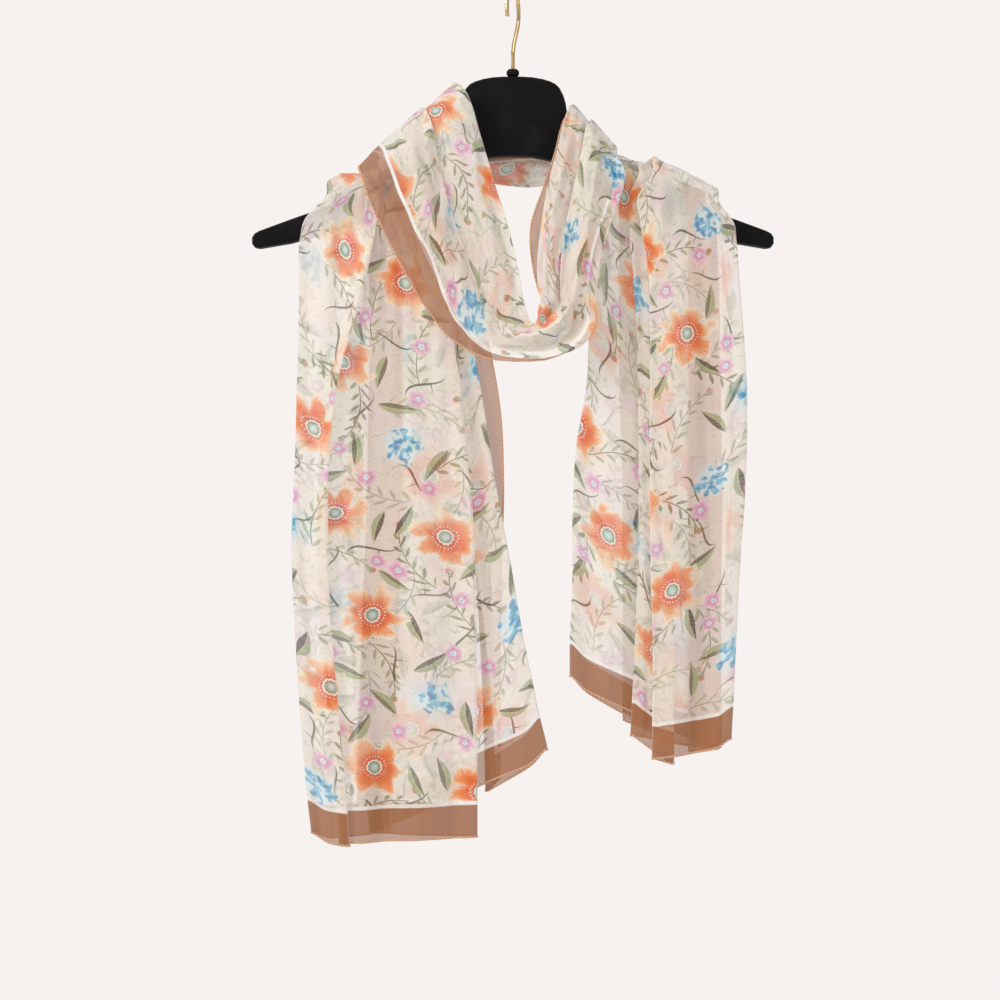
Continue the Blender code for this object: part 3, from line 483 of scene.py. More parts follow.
CREASES: tuple[Crease, ...] = (
    # left tail, front
    Crease(LEFT, ((-107, -195, 0.0, 9, 5), (-117, -224, 3.6, 11, 5), (-126, -268, 4.4, 12, 5),
                  (-139, -315, 4.2, 12, 5), (-147, -374, 3.4, 10, 5), (-149, -436, 2.6, 9, 5),
                  (-149, -520, 2.0, 9, 6), (-147, -600, 0.8, 9, 6), (-146, -640, 0.0, 9, 6))),
    Crease(LEFT, ((-152, -168, 0.0, 5, 8), (-149, -215, 2.4, 5, 9), (-149, -262, 2.8, 5, 9),
                  (-151, -296, 1.6, 5, 8), (-153, -330, 0.0, 5, 8))),
    Crease(LEFT, ((-101, -218, 0.0, 4, 6), (-109, -236, -2.4, 4, 6), (-116, -258, -2.6, 4, 7),
                  (-124, -290, -1.2, 4, 7), (-128, -318, 0.0, 4, 7))),
    Crease(LEFT, ((-92, -292, 0.0, 12, 14), (-84, -350, 2.6, 14, 16), (-78, -420, 3.4, 14, 18),
                  (-74, -500, 2.6, 14, 20), (-72, -590, 3.0, 14, 18), (-72, -680, 3.4, 12, 16))),
    Crease(LEFT, ((-112, -330, 0.0, 10, 8), (-108, -400, -2.4, 10, 9), (-104, -480, -2.8, 10, 9),
                  (-103, -570, -2.2, 10, 9), (-101, -690, -3.0, 9, 9))),
    Crease(LEFT, ((-55, -300, 0.0, 6, 6), (-49, -380, -2.2, 7, 7), (-46, -470, -2.8, 8, 7),
                  (-46, -560, -2.0, 8, 7), (-47, -690, -2.6, 8, 7))),
    Crease(LEFT, ((-166, -210, 0.0, 6, 7), (-165, -290, -1.6, 6, 7), (-163, -380, -2.0, 7, 8),
                  (-165, -470, -1.4, 7, 8), (-161, -580, -2.0, 7, 8), (-154, -690, -2.6, 7, 7))),
    Crease(LEFT, ((-127, -420, 0.0, 7, 7), (-128, -520, 2.0, 8, 8), (-122, -610, 2.8, 9, 9),
                  (-120, -690, 3.6, 9, 9))),
    Crease(LEFT, ((-20, -330, 0.0, 5, 5), (-14, -420, 1.8, 6, 6), (-6, -500, 2.4, 7, 7),
                  (2, -570, 2.8, 8, 8), (9, -630, 3.4, 8, 8))),
    Crease(LEFT, ((-19, -520, 0.0, 5, 5), (-12, -590, -1.8, 6, 6), (-9, -650, -2.4, 7, 7))),
    # right tail, front
    Crease(RIGHT, ((80, -160, 0.0, 4, 6), (79, -190, 2.8, 4, 7), (80, -222, 2.4, 4, 7),
                   (82, -250, 0.0, 4, 6))),
    Crease(RIGHT, ((92, -152, 0.0, 4, 6), (93, -200, 2.8, 4, 7), (96, -242, 3.0, 4, 7),
                   (99, -272, 2.4, 4, 8), (100, -320, 0.0, 4, 8))),
    Crease(RIGHT, ((78, -245, 0.0, 5, 7), (77, -290, 2.2, 5, 8), (79, -350, 2.6, 6, 8),
                   (86, -420, 1.4, 6, 8), (92, -450, 0.0, 6, 8))),
    Crease(RIGHT, ((66, -280, 0.0, 6, 6), (62, -340, -1.8, 6, 6), (60, -400, -2.2, 7, 7),
                   (62, -470, -1.8, 7, 7), (60, -560, -2.4, 7, 7))),
    Crease(RIGHT, ((128, -190, 0.0, 9, 12), (133, -260, 2.0, 10, 13), (136, -350, 3.0, 11, 13),
                   (133, -450, 2.6, 11, 13), (131, -540, 3.0, 11, 13), (129, -620, 3.4, 10, 12))),
    Crease(RIGHT, ((154, -190, 0.0, 7, 8), (158, -280, -2.0, 8, 8), (160, -400, -2.6, 9, 9),
                   (157, -500, -2.0, 9, 9), (152, -610, -3.0, 9, 9))),
    Crease(RIGHT, ((172, -220, 0.0, 6, 7), (176, -320, 1.6, 7, 7), (174, -440, 2.2, 7, 7),
                   (169, -560, 2.4, 7, 7), (166, -610, 2.8, 7, 7))),
    Crease(RIGHT, ((117, -260, 0.0, 4, 5), (117, -360, -1.8, 5, 5), (118, -470, -2.0, 5, 5),
                   (117, -600, -2.4, 5, 5))),
    Crease(RIGHT, ((103, -330, 0.0, 3, 3), (104, -420, 1.2, 3, 3), (105, -520, 1.4, 3, 3),
                   (104, -600, 1.6, 3, 3))),
    Crease(RIGHT, ((76, -460, 0.0, 6, 7), (76, -520, 2.0, 7, 8), (74, -580, 2.8, 7, 8))),
    # left leg of the loop
    Crease(LOOP, ((-60, -108, 0.0, 4, 7), (-57, -140, 2.6, 4, 8), (-50, -168, 3.4, 4, 9),
                  (-40, -200, 3.8, 4, 9), (-28, -236, 3.4, 4, 8), (-12, -268, 2.4, 4, 7),
                  (2, -286, 0.0, 4, 6))),
    Crease(LOOP, ((-84, -110, 0.0, 6, 9), (-80, -140, -2.4, 7, 9), (-72, -175, -3.0, 7, 9),
                  (-58, -212, -2.8, 7, 9), (-42, -246, -2.4, 7, 8), (-20, -275, 0.0, 6, 7))),
    Crease(LOOP, ((-101, -140, 0.0, 6, 6), (-97, -168, 2.2, 6, 7), (-87, -198, 2.6, 6, 7),
                  (-74, -226, 2.4, 6, 7), (-56, -256, 2.2, 6, 6), (-34, -282, 1.8, 6, 6),
                  (-8, -294, 0.0, 6, 6))),
    Crease(LOOP, ((-36, -110, 0.0, 4, 5), (-31, -150, -2.0, 4, 5), (-22, -190, -2.6, 5, 5),
                  (-12, -225, -2.4, 5, 5), (0, -258, 0.0, 5, 5))),
    Crease(LOOP, ((-20, -150, 0.0, 4, 4), (-12, -185, 2.0, 4, 5), (-4, -215, 2.6, 4, 5),
                  (6, -246, 2.4, 4, 5), (14, -268, 0.0, 4, 4))),
    # foot of the loop
    Crease(LOOP, ((-30, -292, 0.0, 4, 5), (-6, -298, 2.2, 4, 5), (22, -297, 2.8, 4, 5),
                  (44, -288, 2.4, 4, 5), (58, -270, 1.6, 4, 5), (63, -250, 0.0, 4, 5))),
    Crease(LOOP, ((-4, -284, 0.0, 4, 4), (18, -287, -3.0, 4, 4), (34, -279, -3.6, 4, 5),
                  (47, -262, -3.8, 5, 5), (51, -240, -3.0, 5, 5), (50, -216, 0.0, 5, 5))),
    Crease(LOOP, ((8, -274, 0.0, 4, 4), (24, -274, 2.6, 4, 4), (36, -262, 3.4, 4, 5),
                  (42, -240, 3.0, 4, 5), (44, -214, 1.4, 4, 5), (46, -196, 0.0, 4, 5))),
    # right leg of the loop
    Crease(LOOP, ((58, -112, 0.0, 4, 5), (55, -136, 2.4, 4, 6), (51, -156, 2.8, 4, 6),
                  (47, -180, 3.0, 4, 6), (46, -212, 2.4, 4, 6), (47, -238, 0.0, 4, 5))),
    Crease(LOOP, ((45, -118, 0.0, 4, 4), (40, -142, -2.0, 4, 5), (36, -168, -2.6, 4, 5),
                  (32, -198, -2.6, 4, 5), (31, -228, -1.8, 4, 5), (30, -250, 0.0, 4, 4))),
    Crease(LOOP, ((68, -120, 0.0, 4, 5), (66, -150, -2.4, 4, 5), (62, -180, -3.2, 4, 5),
                  (58, -205, -2.6, 4, 5), (57, -232, 0.0, 4, 5))),
    Crease(LOOP, ((76, -124, 0.0, 4, 5), (80, -148, 2.4, 5, 6), (78, -172, 3.0, 5, 6),
                  (71, -200, 2.8, 5, 6), (65, -230, 2.4, 4, 5), (64, -262, 0.0, 4, 5))),
    # shoulders
    Crease(RIGHT, ((108, -140, 0.0, 6, 8), (112, -158, 2.6, 6, 9), (118, -180, 2.4, 7, 9),
                   (122, -215, 0.0, 7, 9))),
    Crease(RIGHT, ((136, -150, 0.0, 6, 8), (142, -172, -2.2, 6, 8), (147, -205, 0.0, 7, 8))),
    # hidden sides
    Crease(LEFT, ((-60, -190, 0.0, 9, 11), (-40, -290, 3.0, 10, 12), (-26, -400, 3.6, 10, 12),
                  (-24, -520, 3.0, 9, 11), (-20, -640, 3.4, 8, 9)), Side.BACK),
    Crease(LEFT, ((-90, -230, 0.0, 9, 9), (-84, -330, -2.6, 9, 9), (-76, -450, -3.0, 10, 10),
                  (-70, -560, -2.4, 10, 10), (-60, -660, -3.0, 9, 9)), Side.BACK),
    Crease(LEFT, ((-118, -260, 0.0, 9, 10), (-120, -360, 2.8, 10, 11), (-116, -480, 3.4, 10, 12),
                  (-108, -600, 3.0, 10, 11), (-102, -680, 3.6, 9, 10)), Side.BACK),
    Crease(LEFT, ((-146, -240, 0.0, 7, 7), (-150, -360, -2.0, 8, 8), (-150, -500, -2.6, 8, 8),
                  (-142, -640, -2.4, 8, 8)), Side.BACK),
    Crease(RIGHT, ((106, -190, 0.0, 8, 9), (104, -300, 2.8, 8, 10), (106, -420, 3.4, 9, 10),
                   (104, -520, 2.6, 9, 10), (106, -600, 3.2, 8, 9)), Side.BACK),
    Crease(RIGHT, ((140, -210, 0.0, 9, 9), (146, -320, -2.6, 9, 10), (144, -450, -3.0, 10, 10),
                   (140, -600, -2.6, 9, 9)), Side.BACK),
    Crease(RIGHT, ((68, -330, 0.0, 7, 8), (64, -420, 2.4, 8, 8), (62, -520, 2.8, 8, 8),
                   (66, -570, 2.2, 7, 8)), Side.BACK),
    Crease(BACK_TURNS, ((-62, -104, 0.0, 4, 5), (-30, -97, 2.0, 4, 5), (6, -96, 2.6, 4, 5),
                        (38, -104, 2.0, 4, 5), (66, -122, 0.0, 4, 5))),
    Crease(BACK_TURNS, ((-84, -132, 0.0, 4, 6), (-44, -122, -2.0, 4, 6), (2, -112, -2.6, 4, 6),
                        (44, -124, -2.2, 4, 6), (88, -146, 0.0, 4, 6))),
    Crease(BACK_TURNS, ((-104, -150, 0.0, 5, 6), (-60, -142, 2.0, 5, 6), (2, -126, 2.6, 5, 6),
                        (60, -144, 2.2, 5, 6), (116, -168, 0.0, 5, 6))),
)


@dataclass(frozen=True)
class Drape:
    """Moves the folded surface into its ridges and troughs.

    The front layer of a stack follows a front crease fully and the layers behind it
    less and less, so that they never pass through each other. A ripple is (height, turn
    for each mm across, turn for each mm up, start, swing), in radians. The gathers drift
    by waves of (size, mm for each radian, start), and are uneven by a share that turns
    for each mm across and along.
    """

    creases: tuple[Crease, ...] = CREASES
    gain: float = 1.5
    loop_gain: float = 2.3
    ripple: float = 0.55
    ripples: Table = (
        (1.0, 0.52, 0.021, 0.0, 1.7), (0.6, 0.31, -0.034, 2.1, 0.0), (0.4, 0.07, 0.11, 0.0, 0.0),
    )
    swing: float = 0.013
    ripple_behind: float = 0.35
    gather: float = 8.6
    gather_depth: tuple[float, float] = (0.3, 1.7)
    drifts: Table = ((0.9, 37.0, 0.0), (0.5, 15.0, 1.0))
    uneven: float = 0.2
    uneven_turn: tuple[float, float] = (0.21, 0.05)

    def lift(self, points: np.ndarray, stretch: Stretch, slot: np.ndarray, band: np.ndarray,
             path: np.ndarray) -> np.ndarray:
        """Work out how far each point moves along its outward direction.

        The lift is the sum of the creases, fine ripples and, on the band, small gathers
        that run along the scarf and drift a little from side to side.

        Args:
            points: rows by columns by (x, y, z).
            stretch: the stretch that the rows belong to.
            slot: depth slot of each column, 0 at the front.
            band: distance of each point from the band's outer edge.
            path: distance along the scarf of each row.

        Returns:
            The movement of each point, positive outwards from the front of the stack.
        """
        x, z = points[..., 0], points[..., 2]
        near = 1.0 - slot[None, :] / STACK_SLOTS
        gain = self.loop_gain if stretch is Stretch.COWL else self.gain
        total = np.zeros(x.shape)
        for crease in self.creases:
            if stretch in crease.stretches:
                share = near if crease.side is Side.FRONT else near - 1.0
                total += gain * share * crease.height(x, z)
        wave = np.zeros(x.shape)
        for height, over_x, over_z, start, swing in self.ripples:
            wave += height * np.sin(over_x * x + over_z * z + start + swing * np.sin(self.swing * z))
        total += self.ripple * wave * (self.ripple_behind + (1.0 - self.ripple_behind) * near)
        if stretch not in TAILS:
            drift = sum(size * np.sin(path / length + start) for size, length, start in self.drifts)
            folds = np.sin(2.0 * math.pi * band / self.gather + drift[:, None])
            over_band, over_path = self.uneven_turn
            turn = over_band * band + over_path * path[:, None]
            folds *= 1.0 - self.uneven + self.uneven * np.sin(turn)
            low, high = self.gather_depth
            total += folds * (low * near + high * (1.0 - near))
        return total


# ------------------------------------------------------------------ the print


@dataclass(frozen=True)
class PrintChart:
    """The flower and leaf print, charted on a repeat of the flat cloth.

    Every row is (across, along, radius or half length, turn in degrees). The repeat is
    (across, along), and from one repeat to the next a motif turns by the turn step, in
    radians. Long motifs are slim: their distance across counts for more than along.
    """

    repeat: tuple[float, float] = (250.0, 205.0)
    turn_step: tuple[float, float] = (0.9, 0.7)
    slim: dict[Mark, float] = field(default_factory=lambda: {
        Mark.LEAF: 2.3, Mark.BLADE: 1.8, Mark.SPRIG: 2.2, Mark.TWIG: 2.2,
    })
    blooms: Table = (
        (36, 36, 26, 15), (112, 60, 24, 100), (232, 84, 27, 310), (150, 128, 26, 150),
        (98, 182, 25, 330),
    )
    bluets: Table = (
        (62, 112, 16, 50), (206, 188, 17, 20), (174, 42, 15, 33),
    )
    pinks: Table = (
        (8, 62, 8, 0), (44, 76, 7, 30), (90, 88, 8, 50), (134, 92, 8, 10), (166, 66, 8, 80),
        (206, 58, 7, 40), (110, 112, 7, 55), (184, 140, 8, 20), (182, 158, 7, 70),
        (44, 148, 8, 55), (74, 12, 8, 15), (88, 20, 7, 65), (246, 146, 8, 35), (34, 190, 8, 5),
        (130, 154, 7, 22), (248, 196, 7, 48), (214, 4, 8, 12), (240, 118, 7, 90),
    )
    leaves: Table = (
        (64, 52, 15, 30), (20, 8, 16, 240), (118, 92, 16, 80), (82, 47, 14, 200), (198, 54, 16, 60),
        (171, 201, 15, 250), (213, 32, 14, 10), (248, 56, 15, 300), (216, 112, 16, 120),
        (60, 143, 16, 100), (98, 112, 15, 0), (38, 94, 16, 215), (171, 104, 15, 310),
        (119, 139, 16, 160), (168, 156, 15, 60), (221, 137, 15, 280), (188, 183, 15, 150),
        (244, 184, 14, 30), (126, 166, 14, 330), (78, 4, 14, 130), (68, 171, 15, 200),
    )
    blades: Table = (
        (88, 30, 22, 70), (14, 78, 20, 300), (160, 50, 20, 20), (208, 6, 18, 100), (128, 106, 18, 340),
        (36, 160, 22, 50), (188, 130, 18, 250), (86, 142, 20, 15), (124, 198, 22, 160),
        (8, 186, 20, 330), (234, 36, 18, 60), (54, 84, 20, 120), (244, 138, 20, 80),
        (170, 84, 18, 200), (56, 196, 18, 280), (120, 20, 18, 190), (205, 194, 18, 30),
    )
    sprigs: Table = (
        (64, 20, 28, 340), (146, 62, 28, 20), (206, 74, 26, 250), (12, 100, 28, 80),
        (92, 140, 26, 200), (182, 172, 28, 70), (240, 150, 26, 300), (36, 186, 28, 20),
        (114, 28, 26, 110), (128, 164, 28, 150),
    )
    twigs: Table = (
        (84, 76, 28, 300), (158, 94, 26, 60), (236, 118, 28, 170), (10, 16, 26, 40), (198, 20, 28, 320),
        (40, 138, 28, 110), (110, 112, 26, 240), (176, 146, 28, 10), (72, 196, 28, 250),
        (232, 44, 28, 100), (148, 196, 28, 330), (24, 66, 26, 200),
    )

    def table(self, mark: Mark) -> Table:
        """Return the rows of one kind of motif."""
        rows = (self.blooms, self.bluets, self.pinks, self.leaves, self.blades, self.sprigs, self.twigs)
        return rows[list(Mark).index(mark)]

    def places(self, mark: Mark, u: np.ndarray, v: np.ndarray) -> np.ndarray:
        """Find where the corners of each face lie inside the motif nearest to the face.

        All corners of a face read the same motif, so that a motif is never torn. From one
        repeat to the next a motif turns a little, so that no two repeats look alike.

        Args:
            mark: the kind of motif.
            u: distance across the flat cloth, faces by corners.
            v: distance along the flat cloth, faces by corners.

        Returns:
            Faces by corners by three: the place along and across the motif in radii,
            and a number from 0 to 1 that differs from one motif to the next.
        """
        wide, tall = self.repeat
        mid_u, mid_v = u.mean(axis=1), v.mean(axis=1)
        best = np.full(mid_u.shape, np.inf)
        result = np.zeros(u.shape + (3,))
        for across, along, size, turn in self.table(mark):
            column = np.round((mid_u - across) / wide)
            row = np.round((mid_v - along) / tall)
            base_u, base_v = across + column * wide, along + row * tall
            angle = math.radians(turn) + self.turn_step[0] * column + self.turn_step[1] * row
            du, dv = (u - base_u[:, None]) / size, (v - base_v[:, None]) / size
            cosine, sine = np.cos(angle)[:, None], np.sin(angle)[:, None]
            long, short = du * cosine + dv * sine, dv * cosine - du * sine
            away = long.mean(axis=1) ** 2 + (self.slim.get(mark, 1.0) * short.mean(axis=1)) ** 2
            own = (0.37 * across + 0.53 * along + 0.29 * column + 0.61 * row) % 1.0
            found = np.stack((long, short, np.broadcast_to(own[:, None], u.shape)), axis=-1)
            result = np.where((away < best)[:, None, None], found, result)
            best = np.minimum(best, away)
        return result


# ------------------------------------------------------------------ finishes


class Bench:
    """Makes and joins shader nodes in one node tree."""

    def __init__(self, tree: bpy.types.NodeTree) -> None:
        """Keep the tree that nodes are put in."""
        self.tree = tree

    def fill(self, made: bpy.types.Node, inputs: dict) -> None:
        """Link inputs of a node to sockets, or set their values.

        Args:
            made: the node.
            inputs: sockets or values by the input's name or number.
        """
        for name, value in inputs.items():
            if isinstance(value, bpy.types.NodeSocket):
                self.tree.links.new(value, made.inputs[name])
            else:
                made.inputs[name].default_value = value

    def node(self, kind: str, inputs: dict | None = None, **settings: object) -> bpy.types.Node:
        """Make a shader node.

        Args:
            kind: its type, without the words that all shader nodes' types start with.
            inputs: its inputs by name or number.
            settings: its other settings by name.

        Returns:
            The node.
        """
        made = self.tree.nodes.new("ShaderNode" + kind)
        for name, value in settings.items():
            setattr(made, name, value)
        self.fill(made, inputs or {})
        return made

    def math(self, operation: str, *values: Value, clamp: bool = False) -> Socket:
        """Make a Math node."""
        return self.node("Math", dict(enumerate(values)), operation=operation, use_clamp=clamp).outputs[0]

    def times(self, first: Value, second: Value) -> Socket:
        """Multiply two numbers."""
        return self.math("MULTIPLY", first, second)

    def less(self, first: Value, second: Value) -> Socket:
        """Take the second number from the first."""
        return self.math("SUBTRACT", first, second)

    def add(self, base: Value, value: Value, gain: Value) -> Socket:
        """Add gain times value to a base."""
        return self.math("MULTIPLY_ADD", value, gain, base)

    def size(self, value: Value) -> Socket:
        """Drop a number's sign."""
        return self.math("ABSOLUTE", value)

    def sine(self, value: Value) -> Socket:
        """Sine of an angle in radians."""
        return self.math("SINE", value)

    def ease(self, value: Value, low: Value, high: Value) -> Socket:
        """Rise smoothly from 0 where value is low to 1 where it is high."""
        inputs = {"Value": value, "From Min": low, "From Max": high}
        return self.node("MapRange", inputs, interpolation_type="SMOOTHSTEP").outputs[0]

    def vector(self, operation: str, *values: object) -> Socket:
        """Make a Vector Math node, and give its number where it measures, else its vector."""
        made = self.node("VectorMath", dict(enumerate(values)), operation=operation)
        return made.outputs["Value" if operation in ("LENGTH", "DISTANCE") else "Vector"]

    def scale(self, vector: Socket, size: Value) -> Socket:
        """Scale a vector or a colour."""
        return self.node("VectorMath", {0: vector, "Scale": size}, operation="SCALE").outputs[0]

    def parts(self, vector: Socket) -> list[Socket]:
        """Split a vector into its three numbers."""
        return list(self.node("SeparateXYZ", {0: vector}).outputs)

    def mix(self, share: Value, first: object, second: object) -> Socket:
        """Mix two colours."""
        return self.node("Mix", {0: share, 6: first, 7: second}, data_type="RGBA").outputs[2]

    def blend(self, share: Value, first: bpy.types.Node, second: bpy.types.Node) -> bpy.types.Node:
        """Mix two shaders."""
        return self.node("MixShader", {0: share, 1: first.outputs[0], 2: second.outputs[0]})

    def noise(self, vector: Socket, scale: float, detail: float, flat: bool = False) -> bpy.types.Node:
        """Make a noise, of three dimensions or flat."""
        inputs = {"Vector": vector, "Scale": scale, "Detail": detail}
        return self.node("TexNoise", inputs, noise_dimensions="2D" if flat else "3D")

    def bump(self, height: Socket, strength: float, distance: float) -> Socket:
        """Turn a height into a normal."""
        return self.node("Bump", {"Strength": strength, "Distance": distance, "Height": height}).outputs[0]

    def ramp(self, share: Socket, stops: tuple[tuple[float, Colour], ...]) -> bpy.types.Node:
        """Make a Color Ramp with linear steps between its stops.

        Args:
            share: the number that it reads.
            stops: (place, colour) pairs.

        Returns:
            The node.
        """
        made = self.node("ValToRGB", {"Fac": share})
        elements = made.color_ramp.elements
        while len(elements) < len(stops):
            elements.new(0.5)
        for element, (place, colour) in zip(elements, stops):
            element.position = place
            element.color = colour
        return made


def new_material(name: str) -> tuple[bpy.types.Material, Bench, bpy.types.Node]:
    """Start a material.

    Args:
        name: its name.

    Returns:
        The material, a bench for its nodes, and its Principled shader.
    """
    material = bpy.data.materials.new(name)
    material.use_nodes = True
    return material, Bench(material.node_tree), material.node_tree.nodes["Principled BSDF"]


def srgb(red: float, green: float, blue: float) -> Colour:
    """Turn display values from 0 to 255 into a linear colour."""
    parts = [value / 255.0 for value in (red, green, blue)]
    return tuple(p / 12.92 if p <= 0.04045 else ((p + 0.055) / 1.055) ** 2.4 for p in parts) + (1.0,)


CREAM_SEEN = (0.74, 0.63, 0.52)
INK_SHARE = 0.66
BEHIND_SHARE = 0.15


def dyed(red: float, green: float, blue: float) -> Colour:
    """Turn the display colour that a mark shows on layered cloth into its ink's own.

    A part of the light comes from the cream layers behind the ink, so for each
    channel own = (shown - behind share * cream) / ink share.

    Args:
        red: display value from 0 to 255, as green and blue are.
        green: the second display value.
        blue: the third display value.

    Returns:
        The ink's linear colour.
    """
    pairs = zip(srgb(red, green, blue), CREAM_SEEN)
    own = [(shown - BEHIND_SHARE * cream) / INK_SHARE for shown, cream in pairs]
    return tuple(min(max(value, 0.01), 0.98) for value in own) + (1.0,)


class Motif(Bench):
    """A node group that draws one motif, from a place inside it to a colour and a mask.

    The place is in radii or half lengths, and its third number differs from motif to
    motif. The wash and the dabs are two soft clouds over the cloth.
    """

    SOCKETS = (
        ("Place", "INPUT", "NodeSocketVector"), ("Wash", "INPUT", "NodeSocketFloat"),
        ("Dabs", "INPUT", "NodeSocketFloat"), ("Colour", "OUTPUT", "NodeSocketColor"),
        ("Mask", "OUTPUT", "NodeSocketFloat"),
    )

    def __init__(self, mark: Mark) -> None:
        """Start the group with its sockets.

        Args:
            mark: the motif's kind, which gives the group its name.
        """
        super().__init__(bpy.data.node_groups.new(mark.value, "ShaderNodeTree"))
        for name, way, kind in self.SOCKETS:
            self.tree.interface.new_socket(name, in_out=way, socket_type=kind)
        entry = self.tree.nodes.new("NodeGroupInput")
        self.place, self.wash, self.dabs = (entry.outputs[name] for name, _, _ in self.SOCKETS[:3])
        self.x, self.y, self.own = self.parts(self.place)

    def finish(self, colour: Socket, mask: Socket) -> bpy.types.NodeTree:
        """Join the group's result to its outputs."""
        self.fill(self.tree.nodes.new("NodeGroupOutput"), {"Colour": colour, "Mask": mask})
        return self.tree

    def flat(self) -> Socket:
        """Give the place without the motif's own number."""
        return self.vector("MULTIPLY", self.place, (1.0, 1.0, 0.0))

    def room(self, value: Socket) -> Socket:
        """Make an arch: 1 less the square of a number, and never below 0."""
        return self.math("SUBTRACT", 1.0, self.times(value, value), clamp=True)

    def petals(self, count: float, depth: float, drift: float) -> tuple[Socket, ...]:
        """Draw a flower's outline with the uneven rim of a brushed one.

        The rim is 1 - depth - drift / 2, plus depth times the root of the petals' cosine,
        plus drift times the wash, which also turns the petals a little.

        Args:
            count: how many petals.
            depth: how deep the notches between them reach.
            drift: how far the rim wanders.

        Returns:
            The distance as a share of the rim's, the angle, the petal's share from
            notch to tip, and the distance.
        """
        angle = self.math("ARCTAN2", self.y, self.x)
        away = self.vector("LENGTH", self.flat())
        turned = self.add(self.times(angle, 0.5 * count), self.wash, 1.6)
        lobe = self.math("POWER", self.size(self.math("COSINE", turned)), 0.5)
        rim = self.add(self.add(1.0 - depth - 0.5 * drift, lobe, depth), self.wash, drift)
        return self.math("DIVIDE", away, rim), angle, lobe, away


